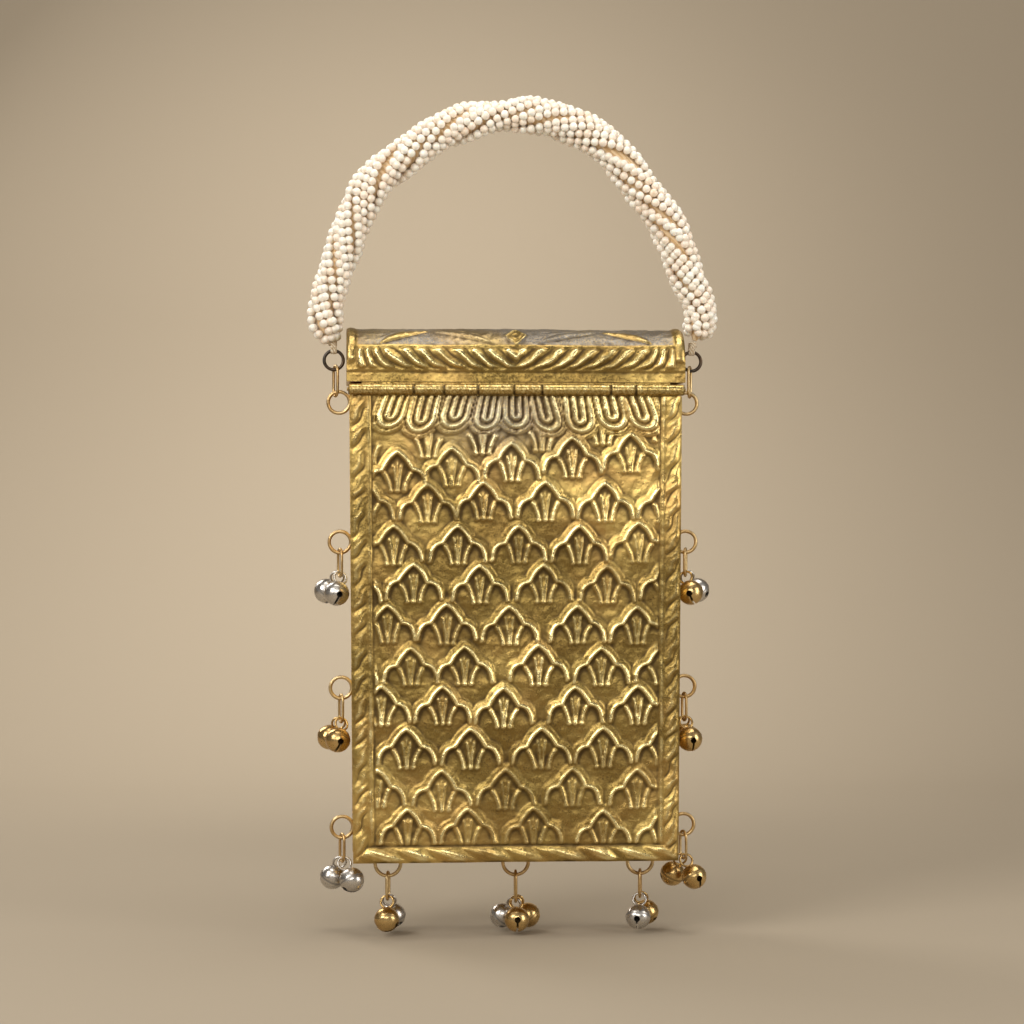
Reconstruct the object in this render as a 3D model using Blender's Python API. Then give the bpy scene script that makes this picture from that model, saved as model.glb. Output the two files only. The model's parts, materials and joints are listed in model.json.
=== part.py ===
"""Embossed brass box clutch with a pearl rope handle and jingle bells.

Lengths are in millimetres in the constants and are turned into metres when a mesh is made.
The origin is the grip: the inner top of the handle's arch. +Z is up and -Y is the hinge side.
"""

import math

import bmesh
import bpy
from mathutils import Matrix, Vector
from mathutils.geometry import delaunay_2d_cdt

MM = 0.001
GAP = 0.3  # left between two neighbouring pieces
LOOSE = 0.2  # left between two wires that hang in each other

# Case
CASE_TOP = -85.4  # rim of the case at the clasp side and the sides
CASE_BOTTOM = -245.9  # lower edge of the two panels
TOP_HALF_W = 56.0  # half width of a panel at the rim
CASE_TAPER = 1.2  # the case narrows this much downwards
BOTTOM_HALF_W = TOP_HALF_W - CASE_TAPER
HALF_DEPTH = 15.0  # from the middle to a panel's ground
SHEET = 1.0  # thickness of the brass sheet
BAND_RECESS = 1.0  # the side band lies this far inside the panels' edges
BOTTOM_RECESS = 2.0
CORNER_R = 3.0  # of the band and of the lining at the bottom
HINGE_STRIP = 3.9  # the hinged panel ends this far below the rim, under the knuckles
LINING = 0.9
LINING_DROP = 3.4  # the lining ends this far below the rim

# Relief of a panel
ROW_PITCH = 13.7
COLUMN_PITCH = 20.6
FIRST_APEX = -104.3  # apex of the first whole row of scales
ROW_DRIFT = (-1.4, -0.6, 0.7, -1.2, -2.4, -2.9, -4.4, -1.9, -3.7, -4.6)  # sideways slip of each chased row
BORDER_W = 6.8
RIDGE_W = 1.0  # inner ridge of the border
EDGE_W = 0.5  # plain rim outside the twisted strands
FIELD_INSET = 0.7
CREST_H = 1.2
PETAL_H = 0.8
GROUND_H = 0.1
TWIST_PITCH = 9.1
BOTTOM_TWIST_PITCH = 12.3
BOTTOM_BORDER_W = 5.8
TWIST_H = 0.9
TONGUES = 9
TONGUE_PITCH = 11.1
TONGUE_DEPTH = 12.6

# Lid
LID_OVERHANG = 1.0  # at each end, past the case
LID_HALF_W = TOP_HALF_W + LID_OVERHANG
LID_STEP = 1.2  # from a panel's ground out to the lid's face
LID_HALF_DEPTH = HALF_DEPTH + LID_STEP
LID_TOP = -66.0
LID_SHOULDER = -79.6  # where the plain band ends and the leaves start
LID_RIM = -84.6
LID_LEAVES = 9  # on each side of the middle
LEAF_H = 0.8
LEAF_TOP = -69.5  # where the leaves end below the plain crown
LEAF_LEAN = 4.4  # how far a leaf's top lies outside its foot
VALLEY_H = -0.25
LID_PLAIN_END = 3.6
LID_ROUNDING = 0.86  # exponent of the dome's outline, below 1 for fuller shoulders

# Hinge
HINGE_Y = -LID_HALF_DEPTH - 0.7  # the pin lies just outside the lid's face
HINGE_Z = -87.2
KNUCKLE_R = 1.7
PIN_R = 0.6
BORE_R = 0.85
# Ends of the knuckles as shares of the lid's half width
KNUCKLE_SHARES = (-0.993, -0.607, -0.430, -0.230, -0.018, 0.147, 0.554, 0.702, 0.993)
KNUCKLE_ENDS = tuple(share * LID_HALF_W for share in KNUCKLE_SHARES)
LEAF_T = 0.6
LEAF_HALF_W = TOP_HALF_W - 4.0  # clear of the side band
LEAF_DROP = 10.0  # the case's leaf reaches this far below the rim
WEB_NEAR = 0.9  # nearer and farther face of a web, from the pin's height
WEB_FAR = 1.65
WEB_INSET = 0.4  # a web is this much shorter than its knuckle at each end
PIN_OVER = 0.3  # the pin stands this far out of the last knuckles

# Clasp
TAB_W = 9.0
TAB_T = 0.6
TAB_TOP = -80.2
TAB_LOW = -90.4
TAB_LIP_R = 0.6
STUD_Z = -87.4
STUD_R = 1.6

# Rings and links
WIRE = 0.65  # wire radius of the soldered rings
LINK_WIRE = 0.5
RING_R = 3.65  # wire centre radius
TOP_RING_Z = -90.97
SIDE_RING_Z = (-138.5, -188.1, -235.5)
LOOP_SHARES = (-0.783, 0.013, 0.794)  # of the bottom's half width
LOOP_X = tuple(share * BOTTOM_HALF_W for share in LOOP_SHARES)
LOOP_R = 4.35
LOOP_LOW = -252.25  # lowest wire centre of a bottom loop
LINK_HALF_W = 2.3
LINK_LEN = 9.4
LONG_LINK_LEN = 10.6
DARK_RING_Z = -76.6
DARK_RING_R = 3.25
DARK_WIRE = 0.6
DARK_RING_CLEAR = 0.45  # from the lid's end
DARK_RING_X = LID_HALF_W + DARK_RING_CLEAR + DARK_WIRE + DARK_RING_R
HANDLE_LINK_X = DARK_RING_X - 0.6  # a link hangs a little inside its dark ring's middle
HANDLE_LINK_HALF_W = 2.0
HANDLE_LINK_YAW = 20.0

# Bells
BELL_R = 4.35
BELL_WALL = 0.6
BELL_LOOP_R = 2.2
BELL_WIRE = 0.45
BELL_DROP = 7.3  # pivot to the middle of the bell
SLOT_W = 0.9
KEYHOLE_R = 1.05
KEYHOLE_ANGLE = 60.0  # from the bell's lowest point
PELLET_R = 1.1
SPLAY = 28.0  # the usual tilt of a bell to the front or the back
SEAT = 1.3  # the usual distance of a bell's loop from the middle of its link

# Handle
ROPE_R = 7.2
LEG_R = 6.4
NECK_R = 5.8
LEG_TOP_Z = -38.0  # the rope thins to its leg between these two heights
LEG_LOW_Z = -55.0
ROPE_NECK_X = -4.0
ROPE_NECK_W = 6.0
ROPE_END_R = 3.0
ROPE_TIE_Z = -64.0  # where the strands start to gather
ROPE_END_Z = -70.4
ROPE_FOOT_X = DARK_RING_X + 0.6
# The centre line's places: share of the foot's distance from the middle, and height
ROPE_LINE = (
    (-1.0, ROPE_END_Z), (-1.037, -62.5), (-1.024, -55.0), (-0.987, -48.0), (-0.903, -31.8), (-0.782, -16.8),
    (-0.606, -7.2), (-0.407, 1.4), (-0.174, 6.3), (0.024, 7.5), (0.246, 5.8), (0.488, -1.4),
    (0.693, -15.7), (0.864, -30.8), (0.968, -47.5), (1.021, -55.5), (1.037, -62.5), (1.0, ROPE_END_Z),
)
ROPE_STRANDS = 7
ARCH_STATIONS = 30
LEG_STATIONS = 6
LEG_SPLIT_Z = -54.0  # the arch is made apart from the legs, which run beside the lid
ROPE_TURNS = 3.2
STRAND_RELIEF = 0.10
THREAD_R = 0.6

FINISHES = {
    "aged_brass": ((0.62, 0.42, 0.16, 1.0), 0.34, 1.0),
    "silvered_metal": ((0.66, 0.65, 0.62, 1.0), 0.30, 1.0),
    "dark_metal": ((0.10, 0.095, 0.09, 1.0), 0.38, 1.0),
    "pearl": ((0.84, 0.80, 0.72, 1.0), 0.28, 0.0),
    "thread": ((0.80, 0.76, 0.68, 1.0), 0.85, 0.0),
    "velvet": ((0.16, 0.02, 0.03, 1.0), 0.95, 0.0),
}


def clear_scene():
    for obj in list(bpy.data.objects):
        bpy.data.objects.remove(obj, do_unlink=True)


def finish_material(name, finish):
    """A Principled material of one node."""
    colour, roughness, metallic = FINISHES[finish]
    material = bpy.data.materials.new(name + "_" + finish)
    material.use_nodes = True
    shader = material.node_tree.nodes["Principled BSDF"]
    shader.inputs["Base Color"].default_value = colour
    shader.inputs["Roughness"].default_value = roughness
    shader.inputs["Metallic"].default_value = metallic
    material.diffuse_color = colour
    return material


def mesh_of(name, verts, faces, sharp=40.0):
    """A mesh in metres with its faces turned out and smooth up to the given angle."""
    mesh = bpy.data.meshes.new(name)
    mesh.from_pydata([tuple(c * MM for c in v) for v in verts], [], faces)
    bm = bmesh.new()
    bm.from_mesh(mesh)
    bmesh.ops.recalc_face_normals(bm, faces=bm.faces)
    bm.to_mesh(mesh)
    bm.free()
    for polygon in mesh.polygons:
        polygon.use_smooth = True
    mesh.set_sharp_from_angle(angle=math.radians(sharp))
    return mesh


def place(name, mesh, finish, origin=(0.0, 0.0, 0.0), turn=(0.0, 0.0, 0.0)):
    """An object that shows the mesh, with its origin at the given point in millimetres."""
    obj = bpy.data.objects.new(name, mesh)
    bpy.context.scene.collection.objects.link(obj)
    obj.location = tuple(c * MM for c in origin)
    obj.rotation_euler = tuple(math.radians(a) for a in turn)
    if not mesh.materials:
        mesh.materials.append(None)
    obj.material_slots[0].link = "OBJECT"
    obj.material_slots[0].material = finish_material(name, finish)
    return obj


def add_piece(name, verts, faces, finish, origin=(0.0, 0.0, 0.0), sharp=40.0):
    """Makes a piece from points in the object's own frame, with its origin where it turns."""
    moved = [tuple(v[i] - origin[i] for i in range(3)) for v in verts]
    return place(name, mesh_of(name, moved, faces, sharp), finish, origin)


def carved(name, base, steps, sharp=40.0):
    """The mesh left by a chain of Boolean steps on a base body."""
    helpers = []
    target = bpy.data.objects.new(name + "_base", mesh_of(name + "_base", *base))
    bpy.context.scene.collection.objects.link(target)
    helpers.append(target)
    for index, (operation, body) in enumerate(steps):
        tool = bpy.data.objects.new(name + "_tool", mesh_of(name + "_tool", *body))
        bpy.context.scene.collection.objects.link(tool)
        helpers.append(tool)
        modifier = target.modifiers.new("step_%d" % index, "BOOLEAN")
        modifier.operation = operation
        modifier.solver = "EXACT"
        modifier.object = tool
    bpy.context.view_layer.update()
    graph = bpy.context.evaluated_depsgraph_get()
    result = bpy.data.meshes.new_from_object(target.evaluated_get(graph))
    result.name = name
    for helper in helpers:
        bpy.data.objects.remove(helper, do_unlink=True)
    result.materials.clear()
    for polygon in result.polygons:
        polygon.use_smooth = True
    result.set_sharp_from_angle(angle=math.radians(sharp))
    return result


def box(low, high):
    x0, y0, z0 = low
    x1, y1, z1 = high
    verts = [(x0, y0, z0), (x1, y0, z0), (x1, y1, z0), (x0, y1, z0),
             (x0, y0, z1), (x1, y0, z1), (x1, y1, z1), (x0, y1, z1)]
    faces = [(0, 3, 2, 1), (4, 5, 6, 7), (0, 1, 5, 4), (1, 2, 6, 5), (2, 3, 7, 6), (3, 0, 4, 7)]
    return verts, faces


def cylinder(start, end, radius, sides=12, end_radius=None):
    """A straight round bar between two points."""
    a = Vector(start)
    b = Vector(end)
    axis = (b - a).normalized()
    side = axis.orthogonal().normalized()
    other = axis.cross(side)
    verts = []
    for centre, r in ((a, radius), (b, radius if end_radius is None else end_radius)):
        for k in range(sides):
            angle = math.tau * k / sides
            verts.append(tuple(centre + side * r * math.cos(angle) + other * r * math.sin(angle)))
    faces = [tuple(range(sides)), tuple(range(2 * sides - 1, sides - 1, -1))]
    for k in range(sides):
        n = (k + 1) % sides
        faces.append((k, n, sides + n, sides + k))
    return verts, faces


def prism(outline, low, high):
    """An upright bar with the given outline in the XY plane."""
    count = len(outline)
    verts = [(x, y, low) for x, y in outline] + [(x, y, high) for x, y in outline]
    faces = [tuple(range(count - 1, -1, -1)), tuple(range(count, 2 * count))]
    for k in range(count):
        n = (k + 1) % count
        faces.append((k, n, count + n, count + k))
    return verts, faces


def ball(centre, radius, around=10, down=6):
    """A round body with its poles on Z."""
    cx, cy, cz = centre
    verts = [(cx, cy, cz + radius)]
    for j in range(1, down):
        polar = math.pi * j / down
        for k in range(around):
            angle = math.tau * (k + 0.5) / around
            verts.append((cx + radius * math.sin(polar) * math.cos(angle),
                          cy + radius * math.sin(polar) * math.sin(angle),
                          cz + radius * math.cos(polar)))
    verts.append((cx, cy, cz - radius))
    last = len(verts) - 1
    faces = []
    for k in range(around):
        n = (k + 1) % around
        faces.append((0, 1 + k, 1 + n))
        faces.append((last, last - around + n, last - around + k))
        for j in range(down - 2):
            a = 1 + j * around
            faces.append((a + k, a + around + k, a + around + n, a + n))
    return verts, faces


def wire(path, radius, sides=5, closed=True):
    """A round wire along a path of points; an open one gets flat ends."""
    points = [Vector(p) for p in path]
    count = len(points)
    verts = []
    normal = None
    for i, point in enumerate(points):
        if closed:
            tangent = (points[(i + 1) % count] - points[i - 1]).normalized()
        else:
            tangent = (points[min(i + 1, count - 1)] - points[max(i - 1, 0)]).normalized()
        if normal is None:
            normal = tangent.orthogonal()
            plane = (points[count // 3] - points[0]).cross(points[2 * count // 3] - points[0])
            if plane.length > 1e-6:
                normal = plane
        normal = (normal - tangent * normal.dot(tangent)).normalized()
        other = tangent.cross(normal)
        for k in range(sides):
            angle = math.tau * k / sides
            verts.append(tuple(point + normal * radius * math.cos(angle) + other * radius * math.sin(angle)))
    faces = []
    for i in range(count if closed else count - 1):
        a = i * sides
        b = (i + 1) % count * sides
        for k in range(sides):
            n = (k + 1) % sides
            faces.append((a + k, a + n, b + n, b + k))
    if not closed:
        faces.append(tuple(range(sides - 1, -1, -1)))
        faces.append(tuple(range((count - 1) * sides, count * sides)))
    return verts, faces


def circle_path(centre, radius, steps=12):
    """A circle in the XZ plane that starts at its top."""
    cx, cy, cz = centre
    return [(cx + radius * math.sin(math.tau * k / steps), cy, cz + radius * math.cos(math.tau * k / steps))
            for k in range(steps)]


def link_path(half_width, length, steps=5):
    """A long link in the YZ plane, hung with its lower wire centre at the origin."""
    path = []
    for k in range(steps + 1):
        angle = math.pi * (k / steps - 0.5)
        path.append((0.0, half_width * math.sin(angle), half_width * (1 - math.cos(angle))))
    for k in range(steps + 1):
        angle = math.pi * (0.5 - k / steps)
        path.append((0.0, half_width * math.sin(angle), length - half_width * (1 - math.cos(angle))))
    return path


def half_width(z):
    """Half width of a panel at a height."""
    share = (CASE_TOP - z) / (CASE_TOP - CASE_BOTTOM)
    return TOP_HALF_W + (BOTTOM_HALF_W - TOP_HALF_W) * share


class Relief:
    """Points and edges of a panel's relief in the XZ plane, each point with its height."""

    def __init__(self):
        self.points = []
        self.heights = []
        self.edges = []
        self.found = {}

    def point(self, x, z, height):
        key = (round(x, 2), round(z, 2))
        if key not in self.found:
            self.found[key] = len(self.points)
            self.points.append(Vector((x, z)))
            self.heights.append(height)
        index = self.found[key]
        self.heights[index] = max(self.heights[index], height)
        return index

    def line(self, points, height, window=None):
        """Adds a bent line, cut to a window of (x0, x1, z0, z1) when one is given."""
        for (ax, az), (bx, bz) in zip(points, points[1:]):
            start, end = 0.0, 1.0
            if window is not None:
                for low, high, a, d in ((window[0], window[1], ax, bx - ax), (window[2], window[3], az, bz - az)):
                    if abs(d) < 1e-9:
                        if not low <= a <= high:
                            end = -1.0
                        continue
                    first, second = sorted(((low - a) / d, (high - a) / d))
                    start = max(start, first)
                    end = min(end, second)
            if end - start < 1e-3:
                continue
            i = self.point(ax + (bx - ax) * start, az + (bz - az) * start, height)
            j = self.point(ax + (bx - ax) * end, az + (bz - az) * end, height)
            if i != j:
                self.edges.append((i, j))

    def triangles(self):
        """The points with their heights and the faces of the triangulated relief."""
        coords, _, faces, origins, _, _ = delaunay_2d_cdt(self.points, self.edges, [], 0, 1e-4)
        heights = []
        for origin in origins:
            heights.append(max((self.heights[i] for i in origin), default=GROUND_H))
        return coords, heights, faces


def mirrored(half):
    """A line that runs over the middle, from its right half that starts in the middle."""
    return [(-x, z) for x, z in reversed(half[1:])] + list(half)


def add_scale(relief, x, z, window):
    """One scale: an ogee ridge with a cusp on each side, over a fan of three petals."""
    p = COLUMN_PITCH / 2
    outer = mirrored([(0.0, 1.0), (0.50 * p, -3.4), (0.78 * p, -4.6), (p, -8.5)])
    crest = mirrored([(0.0, 0.0), (0.24 * p, -1.9), (0.48 * p, -4.8), (0.74 * p, -5.6), (p, -10.4)])
    inner = mirrored([(0.0, -1.4), (0.43 * p, -6.1), (0.70 * p, -6.9), (0.93 * p, -11.6)])
    for half, height in ((outer, GROUND_H), (crest, CREST_H), (inner, GROUND_H)):
        relief.line([(x + dx, z + dz) for dx, dz in half], height, window)
    base = (0.0, -12.7)
    middle = ((-1.6, -6.4), (0.0, -2.9), (1.6, -6.4)), ((0.0, -4.4), (0.0, -10.4))
    side = ((1.7, -8.2), (4.4, -7.4), (4.2, -10.2)), ((3.6, -8.3), (1.2, -11.2))
    other = tuple(tuple((-dx, dz) for dx, dz in line) for line in side)
    for outline, rib in (middle, side, other):
        ring = [(x + dx, z + dz) for dx, dz in (base, *outline, base)]
        relief.line(ring, GROUND_H, window)
        relief.line([(x + dx, z + dz) for dx, dz in rib], PETAL_H, window)


def add_tongue(relief, x, top, window):
    """One U of the row under the hinge, with a raised rim and a raised middle."""
    w = TONGUE_PITCH / 2
    outline = mirrored([(0.0, -TONGUE_DEPTH), (0.56 * w, -0.93 * TONGUE_DEPTH),
                        (0.95 * w, -0.66 * TONGUE_DEPTH), (0.95 * w, -0.06 * TONGUE_DEPTH)])
    rim = mirrored([(0.0, -TONGUE_DEPTH + 1.1), (0.46 * w, -0.83 * TONGUE_DEPTH),
                    (0.76 * w, -0.60 * TONGUE_DEPTH), (0.76 * w, -0.06 * TONGUE_DEPTH)])
    core = mirrored([(0.0, -TONGUE_DEPTH + 3.0), (0.42 * w, -0.50 * TONGUE_DEPTH),
                     (0.42 * w, -0.06 * TONGUE_DEPTH)])
    for half, height in ((outline, GROUND_H), (rim, CREST_H), (core, GROUND_H)):
        relief.line([(x + dx, top + dz) for dx, dz in half], height, window)
    relief.line([(x, top - 0.06 * TONGUE_DEPTH), (x, top - 0.55 * TONGUE_DEPTH)], PETAL_H, window)


def add_twist(relief, at, start, end, pitch, width, lean):
    """A row of slanted strands between two places along the border; `at` maps (along, across) to (x, z)."""
    count = round((end - start) / pitch)
    step = (end - start) / count
    for k in range(count):
        s = start + k * step
        if s + (0.1 + lean) * step < start or s + (0.92 + lean) * step > end:
            continue
        corners = [at(s + 0.1 * step, 0.0), at(s + (0.1 + lean) * step, width),
                   at(s + (0.92 + lean) * step, width), at(s + 0.92 * step, 0.0)]
        relief.line(corners + corners[:1], 0.0)
        mid = [at(s + 0.55 * step, 0.18 * width), at(s + (0.5 + lean) * step, 0.82 * width)]
        relief.line(mid, TWIST_H)


def panel(name, side, top):
    """A panel: the relief on the outside, a flat back and a plain rim."""
    relief = Relief()
    field_low = CASE_BOTTOM + BOTTOM_BORDER_W
    field_half = BOTTOM_HALF_W - BORDER_W
    field_top = CASE_TOP - HINGE_STRIP
    window = (-field_half + FIELD_INSET, field_half - FIELD_INSET, field_low + FIELD_INSET, field_top)
    for k in range(TONGUES):
        add_tongue(relief, (k - (TONGUES - 1) / 2) * TONGUE_PITCH, field_top, window)
    # The rows slip sideways as seen from outside, so the slip turns round with the panel
    reach = math.ceil(field_half / COLUMN_PITCH)
    for row, drift in enumerate(ROW_DRIFT):
        shift = 0.5 * (row % 2)
        for column in range(-reach - 1, reach + 2):
            x = (column + shift) * COLUMN_PITCH - side * drift
            if abs(x) < field_half + 0.5 * COLUMN_PITCH:
                add_scale(relief, x, FIRST_APEX - row * ROW_PITCH, window)
    relief.line([(-field_half, field_top), (field_half, field_top)], 0.0)
    # The inner ridge of the border, three lines beside each other
    for inset, height in ((0.0, 0.0), (RIDGE_W / 2, CREST_H * 0.8), (RIDGE_W, 0.0)):
        reach = field_half + inset
        low = field_low - inset
        relief.line([(-reach, top), (-reach, low), (reach, low), (reach, top)], height)
    # The twisted strands of the border
    clear = RIDGE_W + EDGE_W + 0.3
    for sign in (-1, 1):
        add_twist(relief, lambda s, u, sign=sign: (sign * (half_width(-s) - EDGE_W - u), -s),
                  -top + 0.5, -field_low + 2.0, TWIST_PITCH, BORDER_W - clear, -0.35 * sign * side)
    add_twist(relief, lambda s, u: (-side * s, CASE_BOTTOM + EDGE_W + u), -BOTTOM_HALF_W + BORDER_W,
              BOTTOM_HALF_W - BORDER_W, BOTTOM_TWIST_PITCH, BOTTOM_BORDER_W - clear, -0.3)
    edge = [(-half_width(top), top), (-half_width(CASE_BOTTOM), CASE_BOTTOM),
            (half_width(CASE_BOTTOM), CASE_BOTTOM), (half_width(top), top), (-half_width(top), top)]
    relief.line(edge, 0.0)
    coords, heights, faces = relief.triangles()
    y0 = side * HALF_DEPTH
    verts = [(c.x, y0 + side * h, c.y) for c, h in zip(coords, heights)]
    # The border edges of the triangulated face carry the rim and the flat back
    used = {}
    for face in faces:
        for a, b in zip(face, face[1:] + face[:1]):
            used[(a, b)] = True
    rim = {a: b for a, b in used if (b, a) not in used}
    start = min(rim)
    loop = [start]
    while rim[loop[-1]] != start:
        loop.append(rim[loop[-1]])
    back = {}
    for index in loop:
        back[index] = len(verts)
        verts.append((verts[index][0], y0 - side * SHEET, verts[index][2]))
    faces = [tuple(face) for face in faces]
    for a, b in zip(loop, loop[1:] + loop[:1]):
        faces.append((b, a, back[a], back[b]))
    faces.append(tuple(back[index] for index in loop))
    return add_piece(name, verts, faces, "aged_brass", (0.0, y0, 0.0), sharp=28.0)


def side_band():
    """The strip that runs down one side, under the bottom and up the other side."""
    y = HALF_DEPTH - SHEET - GAP
    low = CASE_BOTTOM + BOTTOM_RECESS
    outer = []
    inner = []
    x_low = half_width(low) - BAND_RECESS
    x_high = half_width(CASE_TOP) - BAND_RECESS
    outer.append((-x_high, CASE_TOP))
    inner.append((-x_high + SHEET, CASE_TOP))
    for sign in (-1, 1):
        for k in range(5):
            angle = math.radians(22.5 * (k if sign < 0 else 4 - k))
            cx = sign * (x_low - CORNER_R)
            cz = low + CORNER_R
            for line, r in ((outer, CORNER_R), (inner, CORNER_R - SHEET)):
                line.append((cx + sign * r * math.cos(angle), cz - r * math.sin(angle)))
    outer.append((x_high, CASE_TOP))
    inner.append((x_high - SHEET, CASE_TOP))
    count = len(outer)
    verts = []
    for line in (outer, inner):
        for side in (-y, y):
            verts.extend([(x, side, z) for x, z in line])
    faces = []
    for k in range(count - 1):
        faces.append((k, k + 1, count + k + 1, count + k))
        faces.append((2 * count + k, 3 * count + k, 3 * count + k + 1, 2 * count + k + 1))
        faces.append((k, 2 * count + k, 2 * count + k + 1, k + 1))
        faces.append((count + k, count + k + 1, 3 * count + k + 1, 3 * count + k))
    for k in (0, count - 1):
        faces.append((k, count + k, 3 * count + k, 2 * count + k))
    return add_piece("side_band", verts, faces, "aged_brass", (0.0, 0.0, low))


def case_lining():
    """An open-topped pocket of velvet that fills the case."""
    x_out = BOTTOM_HALF_W - BAND_RECESS - SHEET - GAP
    y_out = HALF_DEPTH - SHEET - 2 * GAP - LEAF_T
    z_low = CASE_BOTTOM + BOTTOM_RECESS + SHEET + GAP
    z_high = CASE_TOP - LINING_DROP
    verts = []
    for inset, low in ((0.0, z_low), (LINING, z_low + LINING)):
        x = x_out - inset
        y = y_out - inset
        for z, pull in ((low, CORNER_R), (low + CORNER_R, 0.0), (z_high, 0.0)):
            verts.extend([(-x + pull, -y, z), (x - pull, -y, z), (x - pull, y, z), (-x + pull, y, z)])
    faces = [(0, 3, 2, 1), (12, 13, 14, 15)]
    for start in (0, 12):
        for level in range(2):
            a = start + level * 4
            for k in range(4):
                n = (k + 1) % 4
                faces.append((a + k, a + n, a + 4 + n, a + 4 + k))
    for k in range(4):
        n = (k + 1) % 4
        faces.append((8 + k, 8 + n, 20 + n, 20 + k))
    return add_piece("velvet_lining", verts, faces, "velvet", (0.0, 0.0, z_low))


def lid_profile(inset, steps):
    """The lid's outline from the hinge side's rim over the top to the clasp side's rim, as (y, z)."""
    half = LID_HALF_DEPTH - inset
    rise = LID_TOP - LID_SHOULDER - inset
    line = [(-half, LID_RIM)]
    for k in range(steps + 1):
        angle = math.pi * k / steps
        c = math.cos(angle)
        s = math.sin(angle)
        y = -half * math.copysign(abs(c) ** LID_ROUNDING, c)
        line.append((y, LID_SHOULDER + rise * abs(s) ** LID_ROUNDING))
    line.append((half, LID_RIM))
    return line


def lid_shell():
    """The domed lid: leaves that lean to the middle on the outside, a plain hollow inside."""
    steps = 14
    outer = lid_profile(0.0, steps)
    inner = lid_profile(SHEET, steps)
    rows = len(outer)
    columns = [-LID_HALF_W]
    leaf_half = LID_HALF_W - LID_PLAIN_END
    for k in range(-2 * LID_LEAVES, 2 * LID_LEAVES + 1):
        columns.append(leaf_half * k / (2 * LID_LEAVES))
    columns.append(LID_HALF_W)
    verts = []
    for c, x in enumerate(columns):
        plain = c in (0, len(columns) - 1)
        for y, z in outer:
            rise = min(max((z - LID_SHOULDER) / (LEAF_TOP - LID_SHOULDER), 0.0), 1.0)
            room = 0.0 if plain else 1.0 - (abs(x) / leaf_half) ** 4
            lean = math.copysign(LEAF_LEAN * rise * room, x) if x else 0.0
            swell = 0.0
            if not plain and 0.0 < rise < 1.0:
                swell = math.sin(math.pi * rise) * (LEAF_H if c % 2 == 0 else VALLEY_H)
            away = Vector((y, z - LID_SHOULDER)).normalized() * swell
            verts.append((x + lean, y + away.x, z + away.y))
    faces = []
    last = len(columns) - 1
    for c in range(last):
        for r in range(rows - 1):
            a = c * rows + r
            faces.append((a, a + rows, a + rows + 1, a + 1))
    start = len(verts)
    for x in (-LID_HALF_W + SHEET, LID_HALF_W - SHEET):
        verts.extend([(x, y, z) for y, z in inner])
    for r in range(rows - 1):
        faces.append((start + r, start + r + 1, start + rows + r + 1, start + rows + r))
    # End walls and the rim
    for edge, x_start in ((0, start), (last * rows, start + rows)):
        faces.append(tuple(range(edge, edge + rows)))
        faces.append(tuple(range(x_start + rows - 1, x_start - 1, -1)))
    for row, inner_row in ((0, 0), (rows - 1, rows - 1)):
        rim = [c * rows + row for c in range(last + 1)]
        faces.append(tuple(rim + [start + rows + inner_row, start + inner_row]))
    for edge, inner_edge in ((0, start), (last * rows, start + rows)):
        faces.append((edge, edge + rows - 1, inner_edge + rows - 1, inner_edge))
    return add_piece("lid_shell", verts, faces, "aged_brass", (0.0, HINGE_Y, HINGE_Z), sharp=14.0)


def lid_lining():
    """The velvet that backs the lid."""
    steps = 6
    verts = []
    z_rim = LID_RIM + 1.0
    rows = 0
    for inset in (SHEET + GAP + 0.35, SHEET + GAP + 0.35 + LINING):
        line = lid_profile(inset, steps)
        line = [(y, max(z, z_rim)) for y, z in line]
        rows = len(line)
        x = LID_HALF_W - inset
        for sign in (-1, 1):
            verts.extend([(sign * x, y, z) for y, z in line])
    faces = []
    for r in range(rows - 1):
        faces.append((r, r + 1, rows + r + 1, rows + r))
        faces.append((2 * rows + r, 3 * rows + r, 3 * rows + r + 1, 2 * rows + r + 1))
    for start in (0, rows, 2 * rows, 3 * rows):
        faces.append(tuple(range(start, start + rows)))
    for r in (0, rows - 1):
        faces.append((r, rows + r, 3 * rows + r, 2 * rows + r))
    for start in (0, rows):
        faces.append((start, start + rows - 1, 2 * rows + start + rows - 1, 2 * rows + start))
    return add_piece("lid_lining", verts, faces, "velvet", (0.0, HINGE_Y, HINGE_Z))


def hinge_leaf(name, first, plate_low, plate_high, plate_y, web_z):
    """Every second knuckle, joined through webs to a plate behind the sheet."""
    spans = []
    for k in range(first, len(KNUCKLE_ENDS) - 1, 2):
        spans.append((KNUCKLE_ENDS[k] + GAP / 2, KNUCKLE_ENDS[k + 1] - GAP / 2))
    reach = min(max(abs(x) for span in spans for x in span) - 2.0, LEAF_HALF_W)
    plate = box((-reach, plate_y, plate_low), (reach, plate_y + LEAF_T, plate_high))
    steps = []
    for x0, x1 in spans:
        steps.append(("UNION", cylinder((x0, HINGE_Y, HINGE_Z), (x1, HINGE_Y, HINGE_Z), KNUCKLE_R, 10)))
        web_x0 = max(x0 + WEB_INSET, -LEAF_HALF_W)
        web_x1 = min(x1 - WEB_INSET, LEAF_HALF_W)
        web = box((web_x0, HINGE_Y + 0.4, web_z[0]), (web_x1, plate_y + 0.5 * LEAF_T, web_z[1]))
        steps.append(("UNION", web))
    past = LID_HALF_W + 3.0
    bore = cylinder((-past, HINGE_Y, HINGE_Z), (past, HINGE_Y, HINGE_Z), BORE_R, 6)
    steps.append(("DIFFERENCE", bore))
    mesh = carved(name, plate, steps)
    mesh.transform(Matrix.Translation((0.0, -HINGE_Y * MM, -HINGE_Z * MM)))
    return place(name, mesh, "aged_brass", (0.0, HINGE_Y, HINGE_Z))


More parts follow.
